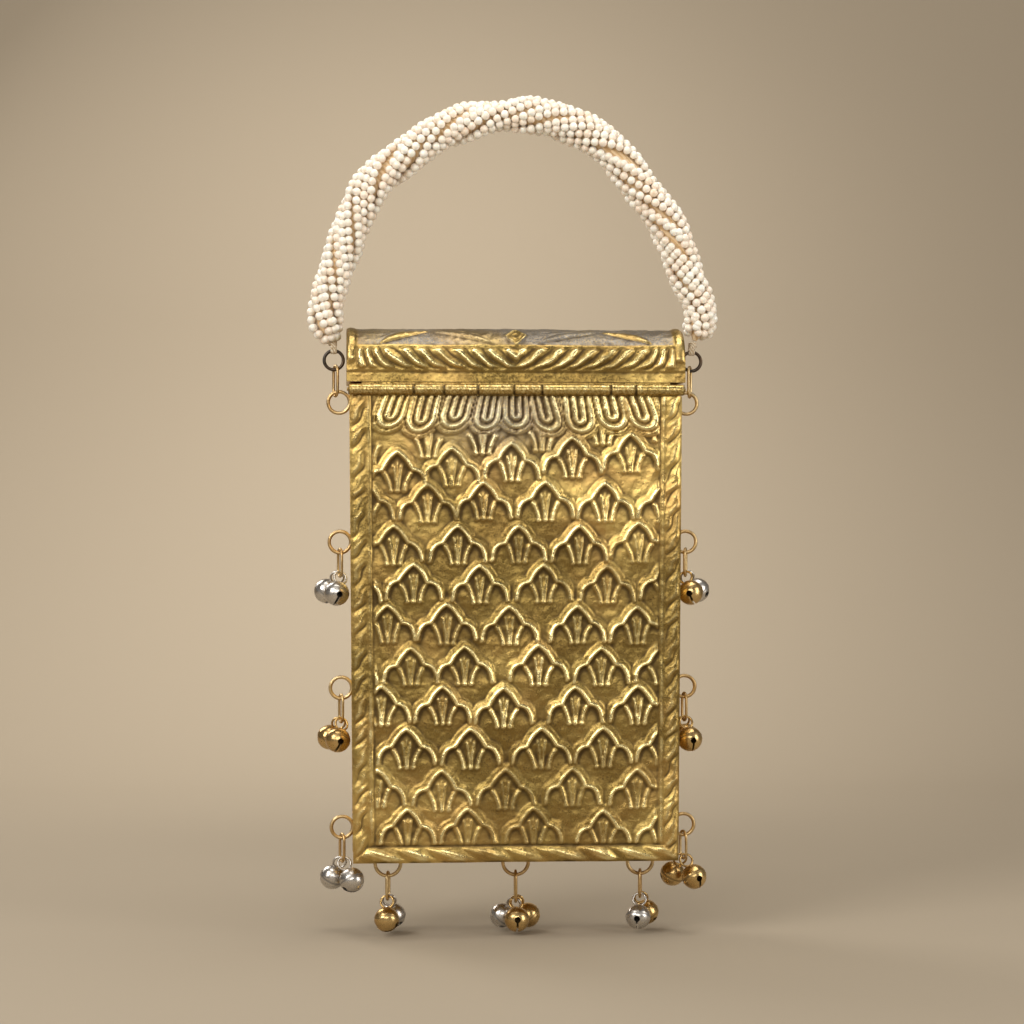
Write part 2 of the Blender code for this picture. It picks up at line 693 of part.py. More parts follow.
def clasp():
    """The spring tab on the lid, with a rolled lip, and the low domed stud that it snaps over."""
    face = LID_HALF_DEPTH + GAP
    plate = box((-TAB_W / 2, face, TAB_LOW + TAB_W / 2), (TAB_W / 2, face + TAB_T, TAB_TOP))
    end_z = TAB_LOW + TAB_W / 2
    tip = cylinder((0.0, face, end_z), (0.0, face + TAB_T, end_z), TAB_W / 2, 20)
    lip_y = face + TAB_T + TAB_LIP_R - 0.2
    lip_z = TAB_LOW + TAB_LIP_R
    lip = cylinder((-2.0, lip_y, lip_z), (2.0, lip_y, lip_z), TAB_LIP_R, 10)
    mesh = carved("clasp_tab", plate, [("UNION", tip), ("UNION", lip)])
    place("clasp_tab", mesh, "aged_brass")
    foot = HALF_DEPTH + GAP
    verts, faces = cylinder((0.0, foot, STUD_Z), (0.0, LID_HALF_DEPTH, STUD_Z), STUD_R, 14, STUD_R * 0.6)
    add_piece("clasp_stud", verts, faces, "aged_brass", (0.0, foot, STUD_Z))


def ring_x(z):
    """Distance from the middle to a soldered ring's centre at a height."""
    return half_width(z) - BAND_RECESS + GAP + RING_R + WIRE


def soldered_rings():
    for label, sign in (("left", -1), ("right", 1)):
        for name, z in [(label + "_handle_ring", TOP_RING_Z)] + [
            ("%s_bell_ring_%d" % (label, k + 1), z) for k, z in enumerate(SIDE_RING_Z)
        ]:
            centre = (sign * ring_x(z), 0.0, z)
            verts, faces = wire(circle_path(centre, RING_R), WIRE)
            add_piece(name, verts, faces, "aged_brass", centre)
    top = CASE_BOTTOM + BOTTOM_RECESS - GAP
    for k, x in enumerate(LOOP_X):
        centre_z = LOOP_LOW + LOOP_R
        path = [(x - LOOP_R, 0.0, top)]
        for j in range(9):
            angle = math.pi * j / 8
            path.append((x - LOOP_R * math.cos(angle), 0.0, centre_z - LOOP_R * math.sin(angle)))
        path.append((x + LOOP_R, 0.0, top))
        verts, faces = wire(path, WIRE, closed=False)
        add_piece("bottom_loop_%d" % (k + 1), verts, faces, "aged_brass", (x, 0.0, centre_z))


def bell_mesh(name, slot_turn):
    """A hollow bell hung from the origin: its loop lies in the XZ plane and its slot crosses below."""
    middle = (0.0, 0.0, -BELL_DROP)
    reach = BELL_R + 1.0
    turn = Matrix.Rotation(math.radians(slot_turn), 3, "Z")

    def turned(body):
        verts, faces = body
        return [tuple(turn @ Vector(v)) for v in verts], faces

    loop_z = BELL_WIRE + LINK_WIRE + LOOSE - BELL_LOOP_R
    loop = wire(circle_path((0.0, 0.0, loop_z), BELL_LOOP_R, 8), BELL_WIRE, 3)
    half = SLOT_W / 2
    wide = KEYHOLE_R
    neck_y = BELL_R * math.sin(math.radians(KEYHOLE_ANGLE)) - wide
    end_y = neck_y + 2 * wide - 0.9
    outline = [(-half, -neck_y), (-wide, -neck_y - 0.3), (-0.6 * wide, -end_y),
               (0.6 * wide, -end_y), (wide, -neck_y - 0.3), (half, -neck_y)]
    outline += [(-x, -y) for x, y in outline]
    slot_top = -BELL_DROP - BELL_R * math.cos(math.radians(KEYHOLE_ANGLE))
    steps = [("UNION", loop), ("DIFFERENCE", ball(middle, BELL_R - BELL_WALL - 0.15, 4, 2))]
    steps.append(("DIFFERENCE", turned(prism(outline, -BELL_DROP - reach, slot_top))))
    pellet_x = BELL_R - BELL_WALL - PELLET_R + 0.5
    steps.append(("UNION", turned(ball((pellet_x, 0.0, -BELL_DROP - 0.6), PELLET_R, 4, 2))))
    return carved(name, ball(middle, BELL_R, 8, 5), steps)


class Bell:
    """One bell of a cluster: where it sits on the link and how far it stands off."""

    def __init__(self, along, tilt, off_x, finish, slot_turn=0):
        self.along = along
        self.tilt = tilt
        self.off_x = off_x
        self.finish = finish
        self.slot_turn = slot_turn

    def placed(self, x, z, yaw):
        """The pivot in millimetres and the turn in degrees of this bell under a link."""
        rise = LINK_HALF_W - math.sqrt(LINK_HALF_W**2 - self.along**2)
        turn = math.radians(yaw)
        tilt = math.radians(self.tilt)
        pivot = (x - self.along * math.sin(turn), self.along * math.cos(turn), z + rise)
        from_yaw = -(self.along + BELL_DROP * math.sin(tilt)) * math.sin(turn)
        share = (self.off_x - from_yaw) / (BELL_DROP * math.cos(tilt) * math.cos(turn))
        swing = math.degrees(-math.asin(share))
        return pivot, (self.tilt, swing, yaw)


GOLD = "aged_brass"
SILVER = "silvered_metal"

# Each cluster: name, side or 0 for the bottom, number along it, turn of its link, its bells
CLUSTERS = (
    ("left_1", -1, 0, 15.0, (Bell(-SEAT, -SPLAY, -1.1, SILVER), Bell(SEAT, SPLAY, -4.6, SILVER, 40))),
    ("left_2", -1, 1, 15.0, (Bell(-SEAT, -SPLAY, -1.1, GOLD), Bell(SEAT, SPLAY, -3.9, GOLD, 90))),
    ("left_3", -1, 2, 18.0, (Bell(-SEAT, -SPLAY, 3.3, SILVER, 90), Bell(SEAT, SPLAY, -3.3, SILVER, 40))),
    ("right_1", 1, 0, -15.0, (Bell(-SEAT, -SPLAY, 1.1, GOLD), Bell(SEAT, SPLAY, 4.6, SILVER, 40))),
    ("right_2", 1, 1, 10.0, (Bell(-SEAT, -SPLAY, 1.3, GOLD), Bell(SEAT, SPLAY, 1.1, GOLD, 90))),
    ("right_3", 1, 2, 18.0, (Bell(-SEAT, -SPLAY, 3.2, GOLD), Bell(SEAT, SPLAY, -3.2, GOLD, 90))),
    ("bottom_1", 0, 0, -12.0, (Bell(-SEAT, -SPLAY, -0.5, GOLD, 90), Bell(SEAT, SPLAY, 1.9, SILVER, 40))),
    ("bottom_2", 0, 1, 0.0, (Bell(-1.75, -36.0, 0.0, GOLD), Bell(0.0, 24.0, -4.4, SILVER, 40),
                             Bell(1.5, 12.0, 4.4, GOLD, 90))),
    ("bottom_3", 0, 2, -12.0, (Bell(-SEAT, -SPLAY, -1.2, SILVER), Bell(SEAT, SPLAY, 2.7, GOLD, 40))),
)


def bell_clusters():
    """Nine links with their bells."""
    meshes = {}
    for name, side, index, yaw, bells in CLUSTERS:
        length = LINK_LEN
        if side:
            x = side * ring_x(SIDE_RING_Z[index])
            wire_z = SIDE_RING_Z[index] - RING_R
        else:
            x = LOOP_X[index]
            wire_z = LOOP_LOW
            if len(bells) > 2:
                length = LONG_LINK_LEN
        low = wire_z + WIRE + LINK_WIRE + LOOSE - length
        turn = Matrix.Rotation(math.radians(yaw), 3, "Z")
        path = [tuple(turn @ Vector(p) + Vector((x, 0.0, low))) for p in link_path(LINK_HALF_W, length)]
        verts, faces = wire(path, LINK_WIRE)
        add_piece("bell_link_" + name, verts, faces, "aged_brass", (x, 0.0, wire_z))
        for number, bell in enumerate(bells):
            pivot, rotation = bell.placed(x, low, yaw)
            if bell.slot_turn not in meshes:
                meshes[bell.slot_turn] = bell_mesh("bell_%d" % bell.slot_turn, bell.slot_turn)
            place("bell_%s_%s" % (name, "abc"[number]), meshes[bell.slot_turn], bell.finish, pivot, rotation)


def handle_links():
    for label, sign in (("left", -1), ("right", 1)):
        x = sign * HANDLE_LINK_X
        high_wire = DARK_RING_Z - math.sqrt(DARK_RING_R**2 - (DARK_RING_X - HANDLE_LINK_X) ** 2)
        low_wire = TOP_RING_Z + math.sqrt(RING_R**2 - (HANDLE_LINK_X - ring_x(TOP_RING_Z)) ** 2)
        high = high_wire + DARK_WIRE + LINK_WIRE + LOOSE
        low = low_wire - WIRE - LINK_WIRE - LOOSE
        turn = Matrix.Rotation(math.radians(-sign * HANDLE_LINK_YAW), 3, "Z")
        hung = link_path(HANDLE_LINK_HALF_W, high - low)
        path = [tuple(turn @ Vector(p) + Vector((x, 0.0, low))) for p in hung]
        verts, faces = wire(path, LINK_WIRE)
        add_piece(label + "_handle_link", verts, faces, "dark_metal", (x, 0.0, high_wire))


def rope_point(share):
    """A point of the handle's centre line, smooth through its named places."""
    span = len(ROPE_LINE) - 1
    at = min(share * span, span - 1e-6)
    k = int(at)
    t = at - k
    p = []
    for i in (k - 1, k, k + 1, k + 2):
        x_share, z = ROPE_LINE[min(max(i, 0), span)]
        p.append(Vector((x_share * ROPE_FOOT_X, z)))
    a = 2 * p[1]
    b = p[2] - p[0]
    c = 2 * p[0] - 5 * p[1] + 4 * p[2] - p[3]
    d = 3 * p[1] - p[0] - 3 * p[2] + p[3]
    q = 0.5 * (a + b * t + c * t * t + d * t**3)
    return Vector((q.x, 0.0, q.y))


def rope_radius(point):
    """Full in the arch, narrower at the legs and at the one pinched place, small at the ends."""
    leg = min(max((LEG_TOP_Z - point.z) / (LEG_TOP_Z - LEG_LOW_Z), 0.0), 1.0)
    radius = ROPE_R + (LEG_R - ROPE_R) * leg
    if point.z > 0:
        radius -= (ROPE_R - NECK_R) * math.exp(-(((point.x - ROPE_NECK_X) / ROPE_NECK_W) ** 2))
    end = min(max((ROPE_TIE_Z - point.z) / (ROPE_TIE_Z - ROPE_END_Z), 0.0), 1.0)
    return radius + (ROPE_END_R - radius) * end**1.6


def rope_bar(name, shares, turns):
    """A stretch of the twisted bundle as a lobed bar, through places with their turns about the line."""
    around = 2 * ROPE_STRANDS
    across = Vector((0.0, 1.0, 0.0))
    verts = []
    for share, turn in zip(shares, turns):
        point = rope_point(share)
        tangent = (rope_point(min(share + 0.01, 1.0)) - rope_point(max(share - 0.01, 0.0))).normalized()
        out = tangent.cross(across)
        radius = rope_radius(point)
        for k in range(around):
            angle = math.tau * (k / around + turn)
            r = radius * (1.0 if k % 2 == 0 else 1.0 - STRAND_RELIEF)
            verts.append(tuple(point + (out * math.cos(angle) + across * math.sin(angle)) * r))
    faces = [tuple(range(around)), tuple(range(len(verts) - 1, len(verts) - around - 1, -1))]
    for i in range(len(shares) - 1):
        for k in range(around):
            n = (k + 1) % around
            a = i * around
            faces.append((a + k, a + around + k, a + around + n, a + n))
    add_piece(name, verts, faces, "pearl", (0.0, 0.0, 0.0), sharp=60.0)


def pearl_rope():
    """The bundle of pearl strands: the arch and the two legs beside the lid."""
    steps = 1000
    line = [rope_point(k / steps) for k in range(steps + 1)]
    lengths = [0.0]
    for a, b in zip(line, line[1:]):
        lengths.append(lengths[-1] + (b - a).length)
    high = [k for k, point in enumerate(line) if point.z > LEG_SPLIT_Z]
    spans = (("left_rope_leg", 0, high[0], LEG_STATIONS), ("pearl_rope", high[0], high[-1], ARCH_STATIONS),
             ("right_rope_leg", high[-1], steps, LEG_STATIONS))
    for name, first, last, count in spans:
        start = first
        while first and lengths[start] < lengths[first] + GAP / 2:
            start += 1
        end = last
        while last < steps and lengths[end] > lengths[last] - GAP / 2:
            end -= 1
        places = [round(start + (end - start) * k / (count - 1)) for k in range(count)]
        rope_bar(name, [k / steps for k in places], [ROPE_TURNS * lengths[k] / lengths[-1] for k in places])


def handle_ends():
    """A thread loop at each end of the rope and the dark ring that it holds."""
    for label, sign in (("left", -1), ("right", 1)):
        x = sign * DARK_RING_X
        centre = (x, 0.0, DARK_RING_Z)
        verts, faces = wire(circle_path(centre, DARK_RING_R), DARK_WIRE)
        add_piece(label + "_dark_ring", verts, faces, "dark_metal", centre)
        wire_z = DARK_RING_Z + DARK_RING_R
        loop_r = DARK_WIRE + LOOSE + THREAD_R
        path = []
        for k in range(10):
            angle = math.tau * k / 10
            path.append((x, loop_r * math.sin(angle), wire_z + loop_r * math.cos(angle)))
        loop = wire(path, THREAD_R, 5)
        stem = cylinder((x, 0.0, wire_z + loop_r + 0.1), (x + sign * 0.3, 0.0, ROPE_END_Z - GAP), 0.9, 8, 2.2)
        mesh = carved(label + "_thread_loop", stem, [("UNION", loop)])
        place(label + "_thread_loop", mesh, "thread")


def hinge_pin():
    reach = KNUCKLE_ENDS[-1] + PIN_OVER
    verts, faces = cylinder((-reach, HINGE_Y, HINGE_Z), (reach, HINGE_Y, HINGE_Z), PIN_R, 8)
    add_piece("hinge_pin", verts, faces, "aged_brass", (0.0, HINGE_Y, HINGE_Z))


def main():
    clear_scene()
    panel("back_panel", -1, CASE_TOP - HINGE_STRIP)
    panel("front_panel", 1, CASE_TOP)
    side_band()
    case_lining()
    behind_panel = -HALF_DEPTH + SHEET + GAP
    hinge_leaf("hinge_leaf_case", 0, CASE_TOP - LEAF_DROP, HINGE_Z - WEB_NEAR, behind_panel,
               (HINGE_Z - WEB_FAR, HINGE_Z - WEB_NEAR))
    behind_lid = -LID_HALF_DEPTH + SHEET + GAP
    hinge_leaf("hinge_leaf_lid", 1, HINGE_Z + WEB_NEAR + 0.1, LID_RIM + 0.7, behind_lid,
               (HINGE_Z + WEB_NEAR, HINGE_Z + WEB_FAR))
    hinge_pin()
    lid_shell()
    lid_lining()
    clasp()
    soldered_rings()
    bell_clusters()
    handle_links()
    pearl_rope()
    handle_ends()
    bpy.context.view_layer.update()


main()
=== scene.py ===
"""Looks of an embossed brass box clutch with a pearl rope handle and small bells.

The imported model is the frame, and every piece rides on one of its bodies. Lengths are in
millimetres and are turned into metres where a mesh is made. +Z is up, +X is to the right in the
picture, and -Y is the hinge side, which the picture shows.
"""

from __future__ import annotations

import json
import logging
import math
from collections.abc import Sequence
from dataclasses import dataclass, field
from enum import Enum

import bpy
import numpy as np
from mathutils import Matrix, Vector

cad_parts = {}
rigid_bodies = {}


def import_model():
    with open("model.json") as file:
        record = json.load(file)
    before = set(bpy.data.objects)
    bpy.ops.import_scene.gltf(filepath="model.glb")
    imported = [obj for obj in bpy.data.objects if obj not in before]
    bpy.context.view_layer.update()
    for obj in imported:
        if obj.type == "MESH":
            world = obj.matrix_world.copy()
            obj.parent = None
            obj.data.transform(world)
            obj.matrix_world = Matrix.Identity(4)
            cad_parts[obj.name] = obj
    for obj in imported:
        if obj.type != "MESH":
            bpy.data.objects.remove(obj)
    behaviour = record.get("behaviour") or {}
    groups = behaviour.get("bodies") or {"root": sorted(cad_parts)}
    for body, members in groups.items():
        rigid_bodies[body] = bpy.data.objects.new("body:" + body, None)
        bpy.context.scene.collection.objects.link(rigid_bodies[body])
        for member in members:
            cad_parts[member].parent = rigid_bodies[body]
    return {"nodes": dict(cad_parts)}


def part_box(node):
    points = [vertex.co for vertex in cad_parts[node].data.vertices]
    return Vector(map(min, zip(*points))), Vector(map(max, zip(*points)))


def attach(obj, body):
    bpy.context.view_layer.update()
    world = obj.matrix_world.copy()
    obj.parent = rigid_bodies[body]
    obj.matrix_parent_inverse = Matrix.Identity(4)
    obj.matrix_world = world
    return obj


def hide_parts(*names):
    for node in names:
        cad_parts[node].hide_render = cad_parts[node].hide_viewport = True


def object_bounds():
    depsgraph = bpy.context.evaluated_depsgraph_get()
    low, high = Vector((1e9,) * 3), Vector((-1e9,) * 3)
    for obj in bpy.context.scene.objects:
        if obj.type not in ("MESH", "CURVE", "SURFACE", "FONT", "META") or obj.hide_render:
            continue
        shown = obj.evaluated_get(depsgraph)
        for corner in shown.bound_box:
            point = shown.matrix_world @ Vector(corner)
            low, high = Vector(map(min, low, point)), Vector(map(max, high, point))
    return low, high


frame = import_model()
CAD_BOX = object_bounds()

LOG = logging.getLogger("clutch")
MM = 0.001
Point = Sequence[float]


def srgb(code: str) -> tuple[float, float, float, float]:
    """Turns a colour code into linear values.

    Args:
        code: six hexadecimal digits after a hash sign, in sRGB.

    Returns:
        Red, green, blue and alpha, each from 0 to 1.
    """
    parts = [int(code[i:i + 2], 16) / 255 for i in (1, 3, 5)]
    linear = [c / 12.92 if c <= 0.04045 else ((c + 0.055) / 1.055) ** 2.4 for c in parts]
    return linear[0], linear[1], linear[2], 1.0


@dataclass(frozen=True)
class Case:
    """Sizes of the case, as in the frame, that its neighbours share."""

    top: float = -85.4
    bottom: float = -245.9
    hinge_strip: float = 3.9  # the hinged panel stops this far below the rim, under the knuckles
    hinged_top: float = top - hinge_strip
    top_half_w: float = 56.0
    taper: float = 1.2
    bottom_half_w: float = top_half_w - taper
    half_depth: float = 15.0
    sheet: float = 1.0
    band_recess: float = 1.0
    gap: float = 0.3  # left between two neighbouring pieces
    loose: float = 0.2  # left between two wires that hang in each other


class Slot(Enum):
    """The record's material slots."""

    BRASS = "aged_brass"
    SILVER = "silvered_metal"
    DARK = "dark_metal"
    PEARL = "pearl"
    THREAD = "thread"
    VELVET = "velvet"


class Kind(Enum):
    """The nodes in use: type, output, the inputs that values fill in order, and usual settings."""

    COORDINATES = ("ShaderNodeTexCoord", "Object", (), {})
    SCALED = ("ShaderNodeVectorMath", 0, (0, 1), {"operation": "MULTIPLY"})
    MASK = ("ShaderNodeAttribute", "Fac", (), {})
    NOISE = ("ShaderNodeTexNoise", "Fac", ("Vector", "Scale", "Detail", "Roughness", "Distortion"), {})
    DENTS = ("ShaderNodeTexVoronoi", "Distance", ("Vector", "Scale", "Smoothness", "Randomness"),
             {"feature": "SMOOTH_F1"})
    PLIES = ("ShaderNodeTexWave", "Fac", ("Vector", "Scale", "Distortion", "Detail", "Detail Scale"),
             {"bands_direction": "DIAGONAL"})
    RANGE = ("ShaderNodeMapRange", 0, (0, 1, 2, 3, 4), {"interpolation_type": "SMOOTHSTEP"})
    PLUS = ("ShaderNodeMath", 0, (0, 1), {"operation": "ADD", "use_clamp": True})
    MINUS = ("ShaderNodeMath", 0, (0, 1), {"operation": "SUBTRACT", "use_clamp": True})
    TIMES = ("ShaderNodeMath", 0, (0, 1), {"operation": "MULTIPLY", "use_clamp": True})
    LARGER = ("ShaderNodeMath", 0, (0, 1), {"operation": "MAXIMUM", "use_clamp": True})
    BLEND = ("ShaderNodeMix", 2, (0, 6, 7), {"data_type": "RGBA"})
    BUMP = ("ShaderNodeBump", 0, ("Height", "Distance", "Strength", "Normal"), {})
    BACK = ("ShaderNodeNewGeometry", "Backfacing", (), {})
    CLEAR = ("ShaderNodeBsdfTransparent", 0, (), {})
    EITHER = ("ShaderNodeMixShader", 0, (0, 1, 2), {})


class Shader:
    """A material in the making, with its coordinates in millimetres."""

    def __init__(self, name: str) -> None:
        """Starts a material.

        Args:
            name: the material's name.
        """
        self.material = bpy.data.materials.new(name)
        self.material.use_nodes = True
        self.tree = self.material.node_tree
        self.principled = self.tree.nodes["Principled BSDF"]
        self.place = self.add(Kind.SCALED, self.add(Kind.COORDINATES), (1 / MM,) * 3)

    def feed(self, socket: bpy.types.NodeSocket, value: object) -> None:
        """Links a socket or sets its value.

        Args:
            socket: an input.
            value: an output that feeds it, a colour code or a plain value.
        """
        if isinstance(value, bpy.types.NodeSocket):
            self.tree.links.new(value, socket)
        else:
            socket.default_value = srgb(value) if isinstance(value, str) else value

    def add(self, kind: Kind, *values: object, **settings: object) -> bpy.types.NodeSocket:
        """Adds a node with its settings, values and links.

        Args:
            kind: what the node does.
            *values: what its inputs take, in the kind's order.
            **settings: properties of the node itself.

        Returns:
            Its output.
        """
        name, output, inputs, usual = kind.value
        made = self.tree.nodes.new(name)
        for key, value in (usual | settings).items():
            setattr(made, key, value)
        for key, value in zip(inputs, values):
            self.feed(made.inputs[key], value)
        return made.outputs[output]

    def finish(self, bumps: Sequence[tuple[bpy.types.NodeSocket, float]] = (),
               **values: object) -> bpy.types.Material:
        """Stacks the bumps and sets the shader's own inputs.

        Args:
            bumps: pairs of a height and its full size in millimetres.
            **values: values or outputs, by input name with underscores for spaces.

        Returns:
            The finished material.
        """
        normal = []
        for height, size in bumps:
            normal = [self.add(Kind.BUMP, height, size * MM, 1.0, *normal)]
        for key, value in values.items():
            self.feed(self.principled.inputs[key.replace("_", " ")], value)
        for value in normal:
            self.feed(self.principled.inputs["Normal"], value)
        return self.material


@dataclass(frozen=True)
class Metal:
    """Hand-worked metal, with the sizes of its marks in millimetres.

    Sheet brass that was chased over pitch and handled for years is rubbed bright and pale on its crests, under
    a painted highlight, keeps brown and black dirt in its recesses, under painted shade, and breaks every
    reflection over small hammer dents.
    """

    name: str
    slot: Slot
    # colour of the rubbed crests, partly their real wear and partly a painted highlight
    bright: str
    body: str
    warm: str
    # colour of the dirt and of the painted shade in the hollows
    dark: str
    roughness: float = 0.27
    dent: float = 0.10  # depth of the hammer dents
    grain: float = 0.02  # depth of the fine pits
    dirt: float = 0.55  # how much of the ground is stained
    tarnish: str = "#8E8A84"
    brown: str = "#806A36"
    patch_size: float = 16.0
    stain_size: float = 3.4
    dent_size: float = 2.3
    ripple_size: float = 1.3
    pit_size: float = 0.55  # drawn coarser than the real pits, which wouldn't show

    def material(self) -> bpy.types.Material:
        """Builds the metal's material.

        Returns:
            The material.
        """
        shader = Shader(self.name)
        add, place = shader.add, shader.place
        recess, crest, grey, patina, clean = (add(Kind.MASK, attribute_name=name) for name in RELIEF_MASKS)
        kept = add(Kind.MINUS, 1.0, clean)
        patches = add(Kind.NOISE, place, 1 / self.patch_size, 3.0, 0.55)
        pits = add(Kind.NOISE, place, 1 / self.pit_size, 3.0, 0.65)
        stains = add(Kind.NOISE, place, 1 / self.stain_size, 4.0, 0.62, 0.6)
        colour = add(Kind.BLEND, add(Kind.RANGE, patches, 0.38, 0.64), self.body, self.warm)
        colour = add(Kind.BLEND, add(Kind.TIMES, add(Kind.TIMES, patina, kept), 0.80), colour, self.brown)
        spots = add(Kind.RANGE, stains, 0.34, 0.64, 0.25, 1.0)
        spots = add(Kind.TIMES, add(Kind.RANGE, pits, 0.44, 0.66), spots)
        spots = add(Kind.TIMES, spots, add(Kind.MINUS, 1.0, crest))
        dirt_and_painted_shade = add(Kind.TIMES, spots, add(Kind.TIMES, kept, self.dirt))
        # painted shade: the hollows are darkened towards the dark colour along with the dirt spots
        dirt_and_painted_shade = add(Kind.LARGER, dirt_and_painted_shade, add(Kind.TIMES, recess, 0.88))
        # painted highlight: crests are lightened towards the bright colour, on top of their real wear
        colour = add(Kind.BLEND, crest, colour, self.bright)
        silvery = add(Kind.TIMES, grey, add(Kind.RANGE, pits, 0.30, 0.56, 0.35, 1.0))
        colour = add(Kind.BLEND, silvery, colour, self.tarnish)
        colour = add(Kind.BLEND, dirt_and_painted_shade, colour, self.dark)
        rough = add(Kind.RANGE, stains, 0.3, 0.7, self.roughness, self.roughness + 0.13)
        rough = add(Kind.PLUS, rough, add(Kind.TIMES, dirt_and_painted_shade, 0.24))
        rough = add(Kind.PLUS, rough, add(Kind.TIMES, grey, 0.16))
        rough = add(Kind.MINUS, rough, add(Kind.TIMES, crest, 0.08))
        metallic = add(Kind.MINUS, 1.0, add(Kind.TIMES, dirt_and_painted_shade, 0.35))
        dents = add(Kind.DENTS, place, 1 / self.dent_size, 0.6, 0.9)
        ripples = add(Kind.NOISE, place, 1 / self.ripple_size)
        bumps = ((dents, self.dent), (ripples, self.dent * 0.9), (pits, self.grain))
        return shader.finish(bumps, Base_Color=colour, Roughness=rough, Metallic=metallic)


@dataclass(frozen=True)
class Pearl:
    """Small cream pearls, each of its own tone.

    A pearl's layers let light in a little and send it back soft, so it glows between its highlights.
    """

    name: str = "pearl_beads"
    slot: Slot = Slot.PEARL
    light: str = "#FDF5EA"
    blush: str = "#F6E8D8"
    ochre: str = "#EBD3B2"
    cloud_size: float = 1.1
    flaw_size: float = 0.9
    flaw: float = 0.03
    glow: tuple[float, float, float] = (0.0030, 0.0027, 0.0024)  # reach of red, green and blue light, in metres

    def material(self) -> bpy.types.Material:
        """Builds the pearls' material.

        Returns:
            The material.
        """
        shader = Shader(self.name)
        add, place = shader.add, shader.place
        tone = add(Kind.MASK, attribute_name="tone")
        clouds = add(Kind.NOISE, place, 1 / self.cloud_size)
        colour = add(Kind.BLEND, add(Kind.RANGE, tone, 0.15, 0.85), self.light, self.blush)
        colour = add(Kind.BLEND, add(Kind.RANGE, tone, 0.93, 1.0, 0.0, 0.45), colour, self.ochre)
        colour = add(Kind.BLEND, add(Kind.RANGE, clouds, 0.45, 0.75, 0.0, 0.30), colour, self.blush)
        rough = add(Kind.RANGE, clouds, 0.35, 0.7, 0.20, 0.30)
        bumps = ((add(Kind.NOISE, place, 1 / self.flaw_size, 1.0), self.flaw),)
        return shader.finish(bumps, Base_Color=colour, Roughness=rough, IOR=1.53, Sheen_Weight=0.15,
                             Subsurface_Weight=0.5, Subsurface_Radius=self.glow, Coat_Weight=0.7,
                             Coat_Roughness=0.08)


@dataclass(frozen=True)
class Thread:
    """Twisted cotton thread: matt, with darker grooves between its plies and a haze of fibres."""

    name: str
    slot: Slot = Slot.THREAD
    light: str = "#EADFCB"
    shade: str = "#B99B6C"
    pitch: float = 0.55  # from ply to ply
    fibre: float = 0.18  # drawn coarser than a real fibre, which wouldn't show
    bands: float = 0.32  # the wave texture's scale that gives one band in a millimetre

    def material(self) -> bpy.types.Material:
        """Builds the thread's material.

        Returns:
            The material.
        """
        shader = Shader(self.name)
        add, place = shader.add, shader.place
        plies = add(Kind.PLIES, place, self.bands / self.pitch, 2.2, 2.0, 2.0)
        fibres = add(Kind.NOISE, place, 1 / self.fibre, 3.0, 0.7)
        grooves = add(Kind.RANGE, plies, 0.15, 0.85, 1.0, 0.0)
        share = add(Kind.TIMES, grooves, add(Kind.RANGE, fibres, 0.3, 0.7, 0.5, 1.0))
        colour = add(Kind.BLEND, share, self.light, self.shade)
        return shader.finish(((plies, 0.12), (fibres, 0.05)), Base_Color=colour, Roughness=0.82, IOR=1.47,
                             Sheen_Weight=0.3)


@dataclass(frozen=True)
class Velvet:
    """Short dark red pile: deep where it is seen from above, light along its turning edges."""

    name: str = "red_velvet"
    slot: Slot = Slot.VELVET
    shade: str = "#4A0A12"
    light: str = "#6E1620"
    root: str = "#26040A"
    edge: str = "#C97A80"
    nap_size: float = 14.0
    pile_size: float = 0.35

    def material(self) -> bpy.types.Material:
        """Builds the velvet's material.

        Returns:
            The material.
        """
        shader = Shader(self.name)
        add, place = shader.add, shader.place
        nap = add(Kind.NOISE, place, 1 / self.nap_size, 3.0, 0.6, 0.8)
        pile = add(Kind.NOISE, place, 1 / self.pile_size, 2.0, 0.7)
        colour = add(Kind.BLEND, add(Kind.RANGE, nap, 0.35, 0.7), self.shade, self.light)
        colour = add(Kind.BLEND, add(Kind.RANGE, pile, 0.4, 0.8, 0.0, 0.5), colour, self.root)
        return shader.finish(((nap, 0.6), (pile, 0.12)), Base_Color=colour, Roughness=0.92, IOR=1.5,
                             Sheen_Weight=0.8, Sheen_Roughness=0.35, Sheen_Tint=self.edge)


@dataclass(frozen=True)
class Plaster:
    """Matt backdrop paint, clear from its back so that it never hides the bag."""

    name: str
    colour: str

    def material(self) -> bpy.types.Material:
        """Builds the paint's material.

        Returns:
            The material.
        """
        shader = Shader(self.name)
        made = shader.finish(Base_Color=self.colour, Roughness=0.9)
        paint, clear = shader.principled.outputs[0], shader.add(Kind.CLEAR)
        seen = shader.add(Kind.EITHER, shader.add(Kind.BACK), paint, clear)
        shader.feed(shader.tree.nodes["Material Output"].inputs["Surface"], seen)
        return made


RELIEF_MASKS = ("recess", "crest", "grey", "patina", "clean")
# Chased sheet: the widest range, from nearly white crests with a painted highlight to black recesses with
# painted shade
BRASS = Metal("aged_brass", Slot.BRASS, "#FBEBAE", "#D8BA70", "#CAA664", "#3E2C10", 0.25, 0.12, 0.07, 0.80)
# Drawn wire: smooth, a little pink, dull from handling
WIRE_BRASS = Metal("wire_brass", Slot.BRASS, "#F2E2BC", "#D8BE8E", "#C6A470", "#5A4020",
                   0.28, 0.05, 0.015, 0.30)
# Pressed and tumbled bells: nearly mirrors
GOLD = Metal("bell_brass", Slot.BRASS, "#F6E4B0", "#DEC086", "#C8A66C", "#4E3A1C", 0.17, 0.02, 0.01, 0.35)
SILVER = Metal("bell_silver", Slot.SILVER, "#F8F6F3", "#DEDBD6", "#CBC6C0", "#4B4642", 0.20, 0.02, 0.01, 0.40)
